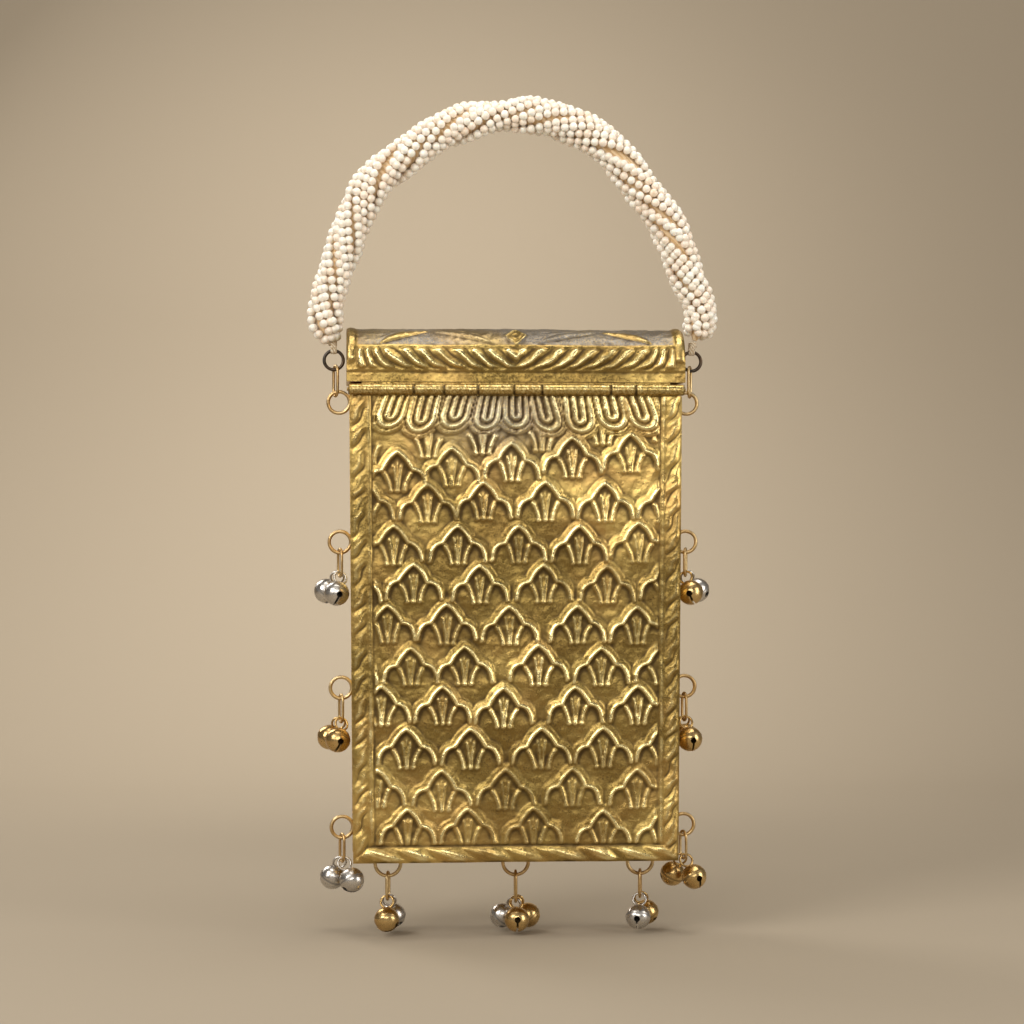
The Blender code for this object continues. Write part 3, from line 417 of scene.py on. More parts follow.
# Blackened wire, rubbed grey
GUNMETAL = Metal("dark_wire", Slot.DARK, "#8E8780", "#4A4540", "#5C4A3A", "#1E1A17", 0.32, 0.05, 0.02, 0.5)
PEARL = Pearl()
CORD = Thread("cream_thread")
CORE = Thread("ochre_thread", Slot.THREAD, "#EBD2AC", "#CDA876", 1.1)
VELVET = Velvet()


class Wardrobe:
    """Keeps one material for each finish."""

    made: dict[str, bpy.types.Material] = {}

    @classmethod
    def get(cls, finish: object) -> bpy.types.Material:
        """The material of a finish.

        Args:
            finish: one of the finishes above.

        Returns:
            Its material, built the first time.
        """
        if finish.name not in cls.made:
            cls.made[finish.name] = finish.material()
        return cls.made[finish.name]


def placed(name: str, data: bpy.types.ID) -> bpy.types.Object:
    """Puts new data into the scene.

    Args:
        name: the object's name.
        data: its mesh, lamp or camera.

    Returns:
        The object, at the frame's origin.
    """
    obj = bpy.data.objects.new(name, data)
    bpy.context.scene.collection.objects.link(obj)
    return obj


def build(name: str, verts: np.ndarray, faces: Sequence, finish: object, masks: dict | None = None,
          sharp: float = 60.0) -> bpy.types.Object:
    """Makes an object from points in millimetres.

    Args:
        name: the object's name.
        verts: its points, in the frame's axes.
        faces: lists of point numbers, or an array of them.
        finish: the finish that it shows.
        masks: values at each point, by attribute name.
        sharp: edges that turn by more than this many degrees stay sharp.

    Returns:
        The object, with its origin at the frame's origin.
    """
    mesh = bpy.data.meshes.new(name)
    mesh.from_pydata(np.asarray(verts, float) * MM, [], faces)
    for key, values in (masks or {}).items():
        attribute = mesh.attributes.new(key, "FLOAT", "POINT")
        attribute.data.foreach_set("value", np.asarray(values, np.float32))
    mesh.polygons.foreach_set("use_smooth", [True] * len(mesh.polygons))
    mesh.set_sharp_from_angle(angle=math.radians(sharp))
    mesh.materials.append(Wardrobe.get(finish))
    return placed(name, mesh)


def seat(obj: bpy.types.Object, body: str, finish: object, *nodes: str) -> bpy.types.Object:
    """Makes a piece ride on a body in place of frame nodes.

    Args:
        obj: the piece.
        body: the frame's body.
        finish: the finish that it shows; not used.
        *nodes: the nodes that it stands for.

    Returns:
        The piece.
    """
    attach(obj, body)
    if nodes:
        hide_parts(*nodes)
    LOG.info("piece %s rides on %s", obj.name, body)
    return obj


def hump(values: np.ndarray | float, middle: float, width: float) -> np.ndarray | float:
    """A smooth hump of height 1.

    Args:
        values: where to measure it.
        middle: where it is highest.
        width: distance from there to about a third of its height.

    Returns:
        Its height at each value.
    """
    return np.exp(-(((values - middle) / width) ** 2))


def smooth_step(values: np.ndarray, low: float, high: float) -> np.ndarray:
    """A smooth rise from 0 to 1.

    Args:
        values: where to measure it.
        low: where it starts.
        high: where it ends.

    Returns:
        The rise at each value.
    """
    t = np.clip((values - low) / (high - low), 0.0, 1.0)
    return t * t * (3.0 - 2.0 * t)


def curve(points: Sequence[Point], steps: int = 8) -> np.ndarray:
    """A curve with two ends and one or two points that pull it.

    Args:
        points: three or four places.
        steps: number of parts.

    Returns:
        The places along the curve.
    """
    places = [np.asarray(p, float) for p in points]
    t = np.linspace(0.0, 1.0, steps + 1)[:, None]
    while len(places) > 1:
        places = [a * (1 - t) + b * t for a, b in zip(places, places[1:])]
    return places[0]


def distance_to(path: np.ndarray, x: np.ndarray, z: np.ndarray) -> np.ndarray:
    """Distance of each place from a bent line.

    Args:
        path: the line's points.
        x: places across.
        z: places up.

    Returns:
        The distances.
    """
    best = np.full(x.shape, 1e9)
    for (ax, az), (bx, bz) in zip(path, path[1:]):
        dx, dz = bx - ax, bz - az
        t = np.clip(((x - ax) * dx + (z - az) * dz) / (dx * dx + dz * dz + 1e-12), 0.0, 1.0)
        best = np.minimum(best, (x - ax - t * dx) ** 2 + (z - az - t * dz) ** 2)
    return np.sqrt(best)


def blurred(values: np.ndarray, sigma: float) -> np.ndarray:
    """Blurs a grid of values.

    Args:
        values: the grid.
        sigma: width of the blur, in grid steps.

    Returns:
        The blurred grid.
    """
    reach = max(int(3 * sigma), 1)
    weights = np.exp(-0.5 * (np.arange(-reach, reach + 1) / sigma) ** 2)
    weights /= weights.sum()
    for axis in (0, 1):
        pad = [(reach, reach) if a == axis else (0, 0) for a in (0, 1)]
        padded = np.pad(values, pad, mode="edge")
        values = np.apply_along_axis(lambda line: np.convolve(line, weights, mode="valid"), axis, padded)
    return values


@dataclass
class ReliefMap:
    """Heights chased into a sheet, over a grid of places in its own plane."""

    x: np.ndarray
    z: np.ndarray
    seed: int
    high: np.ndarray = field(init=False)
    low: np.ndarray = field(init=False)
    rng: np.random.Generator = field(init=False)
    arch_foot: float = 9.9
    petal_foot: float = -13.2
    tongue_count: int = 9
    tongue_pitch: float = 11.1
    tongue_depth: float = 12.4
    tongue_lean: float = 0.28
    # Heights across a scale's ridge: distance outside its line, height
    ridge_profile: tuple = ((-1.75, 0.0), (-1.35, 0.12), (-1.0, 1.0), (-0.55, 1.22), (-0.15, 1.0), (0.15, 0.40),
                            (0.45, 0.50), (0.95, 0.52), (1.45, 0.34), (1.75, 0.04), (2.0, -0.12), (2.4, 0.0))
    # Heights across a tongue: distance from its middle line, height
    tongue_profile: tuple = ((0.0, 0.05), (0.4, 0.15), (0.95, 0.9), (1.8, 1.0), (2.3, 0.55), (2.6, -0.12),
                             (2.95, 0.30), (3.7, 1.0), (4.8, 0.95), (5.2, 0.35), (5.4, -0.2), (5.65, 0.75),
                             (6.0, 0.75), (6.2, -0.12), (6.45, 0.65), (6.75, 0.6), (7.0, 0.0))
    fine_blur: float = 0.9  # painted shade with dirt, and painted highlight with wear, lie where the sheet stands off its mean over these two widths
    wide_blur: float = 2.4
    worn_height: tuple = (0.55, 1.0)  # the chasing is rubbed bright, and its painted highlight grows, from the first height to the second

    def __post_init__(self) -> None:
        """Starts with a flat sheet."""
        self.high = np.zeros_like(self.x)
        self.low = np.zeros_like(self.x)
        self.rng = np.random.default_rng(self.seed)

    def near(self, x: float, z: float, reach: float) -> np.ndarray:
        """The places near a point.

        Args:
            x: the point's place across.
            z: the point's place up.
            reach: half the side of the window.

        Returns:
            A mask of the grid.
        """
        return (abs(self.x - x) < reach) & (abs(self.z - z) < reach)

    def stroke(self, path: np.ndarray, half: float, height: float, taper: float = 0.0) -> None:
        """Raises a rounded ridge, or sinks a groove where the height is negative.

        Args:
            path: the ridge's line.
            half: half its width.
            height: its height.
            taper: share of the half width that is lost towards the first point.
        """
        middle = path.mean(axis=0)
        reach = np.abs(path - middle).max() + half + 0.5
        near = self.near(middle[0], middle[1], reach)
        x, z = self.x[near], self.z[near]
        away = distance_to(path, x, z)
        if taper:
            run = np.hypot(*(path[-1] - path[0]))
            share = np.clip(np.hypot(x - path[0][0], z - path[0][1]) / run, 0.0, 1.0)
            half = half * (1.0 - taper * (1.0 - share))
        values = height * np.cos(0.5 * math.pi * np.clip(away / half, 0.0, 1.0)) ** 1.3
        if height > 0:
            self.high[near] = np.maximum(self.high[near], values)
        else:
            self.low[near] = np.minimum(self.low[near], values)

    def scale(self, x: float, z: float, size: float, strength: float, arch: bool = True) -> None:
        """One scale: a stepped ogee ridge with a cusp on each side over a fan of three petals.

        Args:
            x: the tip's place across.
            z: the tip's height.
            size: size of the scale against the usual one.
            strength: depth of the chasing.
            arch: whether the ridge shows above the fan.
        """
        if arch:
            halves = []
            for sign in (-1.0, 1.0):
                bend = self.rng.uniform(-0.35, 0.35, 2)
                cusp = (5.1 + bend[0], -5.9 + bend[1])
                upper = curve(((0.0, 0.0), (2.6, -1.5), (4.0, -3.6), cusp))
                lower = curve((cusp, (8.2, -6.1), (9.6, -8.6), (self.arch_foot, -12.6)))
                halves.append(np.vstack((upper, lower[1:])) * (sign, 1.0))
            crest = np.vstack((halves[0][::-1], halves[1][1:])) * size
            near = self.near(x, z - 6.5, 14.5)
            dx, dz = self.x[near] - x, self.z[near] - z
            outside = dz > np.interp(dx, crest[:, 0], crest[:, 1])
            away = distance_to(crest, dx, dz) * np.where(outside, 1.0, -1.0)
            fade = 1.0 - smooth_step(abs(dx), (self.arch_foot - 0.3) * size, (self.arch_foot + 1.2) * size)
            fade *= smooth_step(dz, -13.8, -12.2)
            ridge = np.interp(away, *zip(*self.ridge_profile))
            self.high[near] = np.maximum(self.high[near], np.maximum(ridge, 0.0) * fade * strength)
            self.low[near] = np.minimum(self.low[near], np.minimum(ridge, 0.0) * fade * strength)
            hollow = smooth_step(-away, 0.9, 1.6) * smooth_step(dz, -13.5, -9.0)
            self.low[near] = np.minimum(self.low[near], -0.16 * hollow * strength)
        lean = self.rng.uniform(-0.35, 0.35, 4)
        foot = self.petal_foot
        petal = curve(((2.2, foot), (2.6, -10.4), (4.1 + lean[0], -7.6 + lean[1])))
        groove = curve(((1.1, foot + 0.6), (1.3, -9.6), (2.9 + lean[0], -7.9)))
        rib = curve(((0.25, foot), (0.5, -9.0), (1.25 + 0.3 * lean[2], -4.9 + lean[3])))
        # Line, half width, height and taper
        side = (petal, 0.95, 0.95, 0.25), (groove, 0.36, -0.24, 0.0), (rib, 0.55, 0.80, 0.0)
        fan = [(line * (sign, 1.0), *shape) for sign in (-1.0, 1.0) for line, *shape in side]
        fan.append((np.array(((0.0, foot + 0.8), (0.0, -4.3))), 0.42, 0.55, 0.0))
        for offset in (-2.2, 0.0, 2.2):
            dot = np.array(((offset - 0.15, foot - 0.25), (offset + 0.15, foot - 0.25)))
            fan.append((dot, 0.85, 0.95, 0.0))
        for line, half, height, taper in fan:
            self.stroke(line * size + (x, z), half, height * strength, taper)

    def tongues(self, top: float) -> None:
        """The row of U shapes under the hinge, which lean to the middle.

        Args:
            top: their upper end.
        """
        depths = self.tongue_depth + self.rng.uniform(-0.9, 0.9, self.tongue_count)
        places = self.rng.uniform(-0.5, 0.5, self.tongue_count)
        leans = self.rng.uniform(-0.12, 0.12, self.tongue_count)
        slims = self.rng.uniform(0.94, 1.10, self.tongue_count)
        below = self.z - top
        leant = self.x + self.tongue_lean * np.tanh(self.x / 15.0) * (below + self.tongue_depth)
        number = np.clip(np.round(leant / self.tongue_pitch), -(self.tongue_count // 2), self.tongue_count // 2)
        index = (number + self.tongue_count // 2).astype(int)
        across = leant - number * self.tongue_pitch - places[index] - leans[index] * (below + self.tongue_depth)
        half = 0.5 * self.tongue_pitch
        bend = below + depths[index] - half
        radius = np.where(bend > 0, abs(across), np.hypot(across, bend)) * slims[index]
        reach = radius < self.tongue_profile[-1][0]
        reach &= abs(self.x) < 0.5 * self.tongue_count * self.tongue_pitch + 1.0
        heights = np.interp(radius, *zip(*self.tongue_profile))
        self.high = np.where(reach, np.maximum(heights, 0.0), self.high)
        self.low = np.where(reach, np.minimum(heights, 0.0), self.low)

    def lens(self, start: Point, end: Point, half: float, bow: float, height: float) -> np.ndarray:
        """A pointed leaf with a rib.

        Args:
            start: one tip.
            end: the other tip.
            half: half its greatest width.
            bow: how far its middle bends aside.
            height: its height.

        Returns:
            How far each place lies inside the leaf, from 0 to 1.
        """
        run = np.subtract(end, start)
        length = np.hypot(*run)
        along = ((self.x - start[0]) * run[0] + (self.z - start[1]) * run[1]) / length**2
        across = ((self.x - start[0]) * -run[1] + (self.z - start[1]) * run[0]) / length
        inside = np.clip(along, 0.0, 1.0)
        wide = half * np.sin(math.pi * inside) ** 0.8 + 1e-3
        off = abs(across - bow * np.sin(math.pi * inside)) / wide
        within = (along > 0) & (along < 1) & (off < 1)
        body = np.where(within, np.sqrt(np.clip(1.0 - off**2, 0, 1)) * (0.75 + 0.25 * hump(off, 0.0, 0.2)), 0)
        self.high = np.maximum(self.high, height * body * np.sin(math.pi * inside) ** 0.3)
        outline = hump(off * wide, 1.12 * wide, 0.3) * ((along > -0.02) & (along < 1.02))
        self.low = np.minimum(self.low, -0.25 * outline)
        return within * 1.0

    def dented(self, parts: Sequence[tuple[float, float]]) -> np.ndarray:
        """Uneven heights from hand work.

        Args:
            parts: pairs of a spot size in millimetres and its height.

        Returns:
            The heights over the grid.
        """
        step = abs(self.x[0, 1] - self.x[0, 0])
        total = np.zeros_like(self.x)
        for size, height in parts:
            every = max(int(size / step / 3), 1)
            coarse = self.rng.normal(size=(self.x.shape[0] // every + 4, self.x.shape[1] // every + 4))
            coarse = blurred(coarse, 1.3)
            rows = np.linspace(1, coarse.shape[0] - 2, self.x.shape[0])
            columns = np.linspace(1, coarse.shape[1] - 2, self.x.shape[1])
            r, c = rows.astype(int), columns.astype(int)
            u, v = (rows - r)[:, None], (columns - c)[None, :]
            u, v = u * u * (3 - 2 * u), v * v * (3 - 2 * v)
            grid = ((coarse[np.ix_(r, c)] * (1 - v) + coarse[np.ix_(r, c + 1)] * v) * (1 - u)
                    + (coarse[np.ix_(r + 1, c)] * (1 - v) + coarse[np.ix_(r + 1, c + 1)] * v) * u)
            total += height * grid / (grid.std() + 1e-9)
        return total

    def masks(self, height: np.ndarray, grey: np.ndarray, clean: np.ndarray,
              hidden: int) -> dict[str, np.ndarray]:
        """Where the sheet is worn bright under a painted highlight, where dirt and painted shade darken it, and
        where it is tarnished.

        Args:
            height: the finished heights.
            grey: where grey tarnish lies.
            clean: where the ground is rubbed clean.
            hidden: number of plain points that follow the grid's.

        Returns:
            The masks by attribute name.
        """
        step = abs(self.x[0, 1] - self.x[0, 0])
        above = height - blurred(height, self.fine_blur / step)
        wide = height - blurred(height, self.wide_blur / step)
        # painted shade with dirt below the sheet's blurred mean, painted highlight with wear above it
        recess = smooth_step(-above, 0.02, 0.26) * 0.6 + smooth_step(-wide, 0.05, 0.45) * 0.5
        worn = smooth_step(height, *self.worn_height)
        crest = smooth_step(above, 0.05, 0.26) * (0.30 + 0.70 * worn)
        maps = zip(RELIEF_MASKS, (recess, crest, grey, 1.0 - worn, clean))
        return {key: np.pad(np.clip(values, 0.0, 1.0).ravel(), (0, hidden)) for key, values in maps}


def half_width(z: np.ndarray | float) -> np.ndarray | float:
    """Half width of a panel at a height.

    Args:
        z: the height.

    Returns:
        The half width.
    """
    return Case.top_half_w + (Case.bottom_half_w - Case.top_half_w) * (Case.top - z) / (Case.top - Case.bottom)


def grid_faces(rows: int, columns: int) -> np.ndarray:
    """Four-sided faces over a grid of points.

    Args:
        rows: number of rows.
        columns: number of columns.

    Returns:
        One line of four point numbers for each face.
    """
    a = (np.arange(rows - 1)[:, None] * columns + np.arange(columns - 1)[None, :]).ravel()
    return np.stack((a, a + 1, a + columns + 1, a + columns), axis=1)


@dataclass
class Panel:
    """One of the two embossed faces of the case."""

    node: str
    side: int  # -1 for the hinge side
    top: float
    seed: int
    grid: float = 0.42  # distance between neighbouring points of a relief
    border_w: float = 7.4
    bottom_border_w: float = 5.6
    twist_pitch: float = 9.1
    bottom_twist_pitch: float = 12.4
    first_row_z: float = -104.3
    row_pitch: float = 13.7
    column_pitch: float = 20.6
    fan_drop: float = 3.6  # the bare fans above the first scales hang this much lower
    row_rise: float = 0.075  # the first rows rise this much towards one side, per millimetre
    row_slip: float = 0.6  # greatest slip of a scale up or down
    last_full_row: int = 8  # the rows below it are chased less deeply
    softness: float = 0.55  # blur of the chasing, in grid steps
    rim_w: float = 1.2  # the sheet is flat this near its edge
    # Where the scales' tips lie across each row, set by eye by the hand that chased them
    scale_x: tuple = (
        (-40.0, -21.8, -1.7, 18.8, 38.6), (-29.9, -11.1, 9.7, 29.9), (-41.3, -19.8, 0.7, 21.2, 41.3),
        (-34.6, -12.4, 9.1, 30.6), (-43.3, -23.5, -2.4, 20.5, 40.7), (-35.6, -17.5, 7.4, 28.6),
        (-45.4, -24.9, -4.4, 19.8, 41.0), (-37.0, -15.5, 8.4, 29.2), (-46.7, -25.2, -3.7, 18.8, 40.7),
        (-36.6, -16.5, 5.7, 29.2),
    )
    # Size and height of the uneven places
    dents: tuple = ((26.0, 0.22), (9.0, 0.10), (3.5, 0.05), (1.3, 0.02))

    def heights(self) -> tuple[ReliefMap, np.ndarray]:
        """Chases the panel.

        Returns:
            The relief map and its finished heights.
        """
        rows = round((self.top - Case.bottom) / self.grid) + 1
        columns = round(2 * Case.bottom_half_w / self.grid) + 1
        z = np.repeat(np.linspace(self.top, Case.bottom, rows)[:, None], columns, axis=1)
        x = np.linspace(-1.0, 1.0, columns)[None, :] * half_width(z)
        relief = ReliefMap(x, z, self.seed)
        face = -self.side  # the other face's pattern runs the other way
        field_half = Case.top_half_w - self.border_w
        for row, tips in enumerate(((), *self.scale_x)):
            if not row:
                tips = [t + 0.5 * self.column_pitch for t in self.scale_x[0]]
            places = [tips[0] - self.column_pitch, *tips, tips[-1] + self.column_pitch]
            for tip in places:
                if abs(tip) < field_half + 8.0:
                    slant = self.row_rise * tip if row < 2 else 0.0
                    tall = self.first_row_z - (row - 1) * self.row_pitch + slant
                    tall += relief.rng.uniform(-self.row_slip, self.row_slip)
                    tall -= self.fan_drop * (row == 0)
                    weak = 1.0 - 0.22 * (row > self.last_full_row)
                    relief.scale(face * tip, tall, relief.rng.uniform(0.96, 1.05),
                                 weak * relief.rng.uniform(0.85, 1.1), row > 0)
        relief.tongues(Case.hinged_top)
        inside = 1.0 - smooth_step(np.maximum(abs(x) - half_width(z) + self.border_w,
                                              Case.bottom + self.bottom_border_w - z + 0.3), -0.5, 0.1)
        height = (relief.high + relief.low) * inside
        height += self.border(relief, face)
        height = blurred(height, self.softness)
        edge = half_width(z) - abs(x)
        rim = smooth_step(edge, 0.0, self.rim_w) * smooth_step(z - Case.bottom, 0.0, 1.0)
        dents = relief.dented(self.dents) * smooth_step(edge, 0.0, 6.0)
        return relief, height * rim + dents

    def border(self, relief: ReliefMap, face: int) -> np.ndarray:
        """The leaf strands and the inner ridge along three sides.

        Args:
            relief: the panel's map.
            face: 1 for the pattern as in the picture, -1 for its mirror.

        Returns:
            The border's heights.
        """
        x, z = relief.x, relief.z
        u = half_width(z) - abs(x)
        wave = 0.12 * np.sin(z * 0.31) + 0.08 * np.sin(z * 0.83 + x * 0.1)
        width = self.border_w - 2.4
        phase = (z - 1.7 * u * np.sign(x) * -face * 0.8) / self.twist_pitch + wave
        lens = np.clip(np.sin(math.pi * np.clip((u - 0.3) / width, 0, 1)), 0, 1) ** 0.55
        share = phase % 1.0
        body = np.sin(math.pi * share) ** 0.6 * (0.55 + 0.45 * np.sin(math.pi * share**0.6))
        side = 0.86 * lens * body - 0.18 * hump(np.minimum(share, 1 - share), 0.0, 0.06) * lens
        side -= 0.28 * hump(share, 0.5, 0.09) * lens
        ridge = 0.5 * hump(u, self.border_w - 1.25, 0.95)
        side = side * (u < self.border_w) + ridge - 0.25 * hump(u, self.border_w - 0.1, 0.35)
        low = z - Case.bottom
        share = ((face * x + 1.25 * low) / self.bottom_twist_pitch + 0.1 * np.sin(x * 0.2)) % 1.0
        lens = np.clip(np.sin(math.pi * np.clip(low / (self.bottom_border_w - 0.4), 0, 1)), 0, 1) ** 0.6
        body = np.sin(math.pi * share) ** 0.5 * (0.6 + 0.4 * np.sin(math.pi * share**1.6))
        strand = 1.25 * lens * body
        fine = 0.14 * np.sin((face * x * 1.1 + low * 3.4) * 1.4) * lens * body
        bottom = strand + fine - 0.25 * hump(low, self.bottom_border_w, 0.4)
        corner = smooth_step(u - low, -1.5, 1.5)
        side *= (1 - corner) * (u < self.border_w + 1)
        return side + bottom * corner * (low < self.bottom_border_w + 1)

    def dress(self) -> bpy.types.Object:
        """Builds the panel.

        Returns:
            The piece.
        """
        relief, height = self.heights()
        rows, columns = relief.x.shape
        grey = 0.8 * hump(relief.x, -5.0, 22.0) * hump(relief.z, -96.0, 12.0)
        clean = 0.75 * smooth_step(relief.z, -150.0, -106.0) + 0.65 * smooth_step(-relief.z, 196.0, 228.0)
        clean += 0.8 * hump(relief.x, 34.0, 16.0) * hump(relief.z, -128.0, 22.0)
        clean += relief.dented(((30.0, 0.16), (11.0, 0.14)))
        y = self.side * (Case.half_depth + height)
        outer = np.stack((relief.x, y, relief.z), axis=2).reshape(-1, 3)
        faces = grid_faces(rows, columns)
        if self.side > 0:
            faces = faces[:, ::-1]
        top = list(range(columns))
        right = list(range(2 * columns - 1, rows * columns, columns))
        bottom = list(range(rows * columns - 2, (rows - 1) * columns - 1, -1))
        left = list(range((rows - 2) * columns, 0, -columns))
        ring = top + right + bottom + left
        back = outer[ring].copy()
        back[:, 1] = self.side * (Case.half_depth - Case.sheet)
        start = len(outer)
        count = len(ring)
        walls = [(ring[k], ring[(k + 1) % count], start + (k + 1) % count, start + k) for k in range(count)]
        if self.side < 0:
            walls = [wall[::-1] for wall in walls]
        closing = list(range(start, start + count))
        faces = [tuple(f) for f in faces[:, ::-1].tolist()] + walls
        faces.append(tuple(closing if self.side < 0 else closing[::-1]))
        masks = relief.masks(height, grey, clean, count)
        obj = build(self.node + "_chased", np.vstack((outer, back)), faces, BRASS, masks, 75.0)
        return seat(obj, "case", BRASS, self.node)


@dataclass
class Lid:
    """The domed lid with its leaning leaves."""

    seed: int = 5
    half_w: float = Case.top_half_w + 1.0
    half_depth: float = Case.half_depth + 1.2
    top: float = -66.0
    shoulder: float = -79.6
    rim: float = -84.6
    rounding: float = 0.86  # exponent of the dome's outline, below 1 for fuller shoulders
    row_step: float = 0.40
    leaf_pitch: float = 5.9
    leaf_lean: float = 12.0
    leaf_foot: float = 3.9  # from the rim to the leaves' feet, along the lid's curve
    leaf_band: float = 7.9  # length of the leaves along the lid's curve
    # Heights across a leaf: share of the pitch, height
    leaf_profile: tuple = ((0.0, -0.15), (0.08, 0.10), (0.30, 0.75), (0.52, 1.15), (0.62, 1.15), (0.74, 0.55),
                           (0.86, 0.30), (0.94, 0.05), (1.0, -0.15))
    plain_end: float = 3.4
    crown_rise: tuple = (1.6, 9.2)  # from the leaves' tips to the two ends of a crown leaf
    crown_x: tuple = ((7.6, 28.6), (28.9, 46.0))  # where the inner and the outer crown leaf start and end
    crown_half_w: tuple = (1.7, 1.9)
    crown_h: tuple = (0.45, 0.6)
    crown_bow: float = 1.2
    diamond_half_w: float = 3.4
    diamond_half_h: float = 4.2
    diamond_line: float = 0.75  # half the width of its line
    # Size and height of the uneven places
    dents: tuple = ((22.0, 0.14), (7.0, 0.07), (2.5, 0.04), (1.3, 0.035))
    ground: np.ndarray | None = None  # where the crown's grey ground shows

    def line(self, inset: float, steps: int) -> np.ndarray:
        """The lid's outline from the hinge side's rim over the top to the other rim.

        Args:
            inset: distance inside the outer face.
            steps: number of parts of the curved stretch.

        Returns:
            Places as (y, z).
        """
        half = self.half_depth - inset
        rise = self.top - self.shoulder - inset
        line = [(-half, self.rim)]
        for angle in np.linspace(0.0, math.pi, steps + 1):
            c, s = math.cos(angle), math.sin(angle)
            y = -half * math.copysign(abs(c) ** self.rounding, c)
            line.append((y, self.shoulder + rise * abs(s) ** self.rounding))
        line.append((half, self.rim))
        return np.array(line)

    def heights(self, x: np.ndarray, s: np.ndarray, length: float) -> tuple[ReliefMap, np.ndarray]:
        """Chases the lid.

        Args:
            x: places across.
            s: places along the lid's curve, from the hinge side's rim.
            length: the curve's whole length.

        Returns:
            The relief map and its heights.
        """
        relief = ReliefMap(x, s, self.seed)
        near_side = np.minimum(s, length - s)
        rise = near_side - self.leaf_foot
        v = np.clip(rise / self.leaf_band, 0.0, 1.0)
        reach = self.half_w - self.plain_end
        room = 1.0 - smooth_step(abs(x), reach - 10.0, reach) * 0.75
        wobble = 0.45 * np.sin(x * 0.31 + 0.6) + 0.25 * np.sin(x * 0.93)
        share = ((abs(x) - self.leaf_lean * np.sqrt(v) * room + wobble) / self.leaf_pitch) % 1.0
        leaf = np.interp(share, *zip(*self.leaf_profile))
        end = smooth_step(v, 0.02, 0.22) * (1.0 - smooth_step(v, 0.86, 1.0)) * (rise > 0)
        inside = 1.0 - smooth_step(abs(x), reach - 0.8, reach)
        height = leaf * end * inside
        height += 0.35 * hump(rise, self.leaf_band + 0.5, 0.55) * inside
        height += 0.22 * hump(rise, 0.0, 0.35) - 0.16 * hump(rise, -0.8, 0.35)
        strip = smooth_step(abs(x), reach + 0.1, reach + 0.8) * smooth_step(rise, 2.0, 4.0)
        height += 0.55 * strip * smooth_step(self.half_w - abs(x), 0.0, 0.8)
        relief.high = np.maximum(height, 0.0)
        relief.low = np.minimum(height, 0.0)
        ground = smooth_step(rise, self.leaf_band + 0.8, self.leaf_band + 1.6) * inside
        low, high = (self.leaf_foot + self.leaf_band + gap for gap in self.crown_rise)
        (start, tip), (next_start, end_tip) = self.crown_x
        a, b = self.diamond_half_w, self.diamond_half_h
        for hand in (-1.0, 1.0):
            for flip in (False, True):
                ends = [length - v if flip else v for v in (low, high)]
                bow = -self.crown_bow * hand if flip else self.crown_bow * hand
                relief.lens((start * hand, ends[0]), (tip * hand, ends[1]), self.crown_half_w[0], bow,
                            self.crown_h[0])
                gold = relief.lens((next_start * hand, ends[1]), (end_tip * hand, ends[0]),
                                   self.crown_half_w[1], bow, self.crown_h[1])
                ground *= 1.0 - 0.9 * gold
                middle = 0.5 * (ends[0] + ends[1])
                for size, tall in ((1.0, 0.6), (0.5, 0.5)):
                    diamond = np.array(((a, 0), (0, b), (-a, 0), (0, -b), (a, 0)), float) * size
                    relief.stroke(diamond + (0.0, middle), self.diamond_line, tall)
                ground *= 1.0 - 0.9 * (abs(x) / 3.8 + abs(s - middle) / 4.8 < 1.0)
        self.ground = ground
        dents = relief.dented(self.dents)
        keep = smooth_step(self.half_w - abs(x), 0.0, 3.0) * smooth_step(np.minimum(s, length - s), 0.0, 2.0)
        return relief, blurred(relief.high + relief.low, 0.6) + dents * keep

    def dress(self) -> bpy.types.Object:
        """Builds the lid's shell.

        Returns:
            The piece.
        """
        line = self.line(0.0, 160)
        steps = np.hypot(*np.diff(line, axis=0).T)
        along = np.concatenate(((0.0,), np.cumsum(steps)))
        rows = round(along[-1] / self.row_step) + 1
        columns = round(2 * self.half_w / Panel.grid) + 1
        s = np.linspace(0.0, along[-1], rows)
        y, z = np.interp(s, along, line[:, 0]), np.interp(s, along, line[:, 1])
        out = np.stack((np.gradient(z, s) * -1.0, np.gradient(y, s)), axis=1)
        out /= np.hypot(*out.T)[:, None]
        x = np.repeat(np.linspace(-self.half_w, self.half_w, columns)[None, :], rows, axis=0)
        relief, height = self.heights(x, np.repeat(s[:, None], columns, axis=1), along[-1])
        height *= smooth_step(self.half_w - abs(x), 0.0, 0.7)
        blot = np.clip(relief.dented(((14.0, 0.25),)) + 0.85, 0.0, 1.0)
        outer = np.stack((x, y[:, None] + height * out[:, :1], z[:, None] + height * out[:, 1:]), axis=2)
        inner_line = self.line(Case.sheet, 24)
        inner = [(sign * (self.half_w - Case.sheet), a, b) for sign in (-1, 1) for a, b in inner_line]
        verts = np.vstack((outer.reshape(-1, 3), np.array(inner)))
        faces = [tuple(f) for f in grid_faces(rows, columns).tolist()]
        start, count = rows * columns, len(inner_line)
        for r in range(count - 1):
            faces.append((start + r, start + r + 1, start + count + r + 1, start + count + r))
        left = [r * columns for r in range(rows)]
        right = [r * columns + columns - 1 for r in range(rows)]
        faces.append(tuple(left))
        faces.append(tuple(right[::-1]))
        faces.append(tuple(range(start + count - 1, start - 1, -1)))
        faces.append(tuple(range(start + count, start + 2 * count)))
        first = list(range(columns))
        last = list(range((rows - 1) * columns, rows * columns))
        faces.append(tuple(first[::-1] + [start, start + count]))
        faces.append(tuple(last + [start + 2 * count - 1, start + count - 1]))
        faces.append((left[0], left[-1], start + count - 1, start))
        faces.append((right[-1], right[0], start + count, start + 2 * count - 1))
        masks = relief.masks(height, self.ground * blot, 0.25 + relief.dented(((16.0, 0.2),)), len(inner))
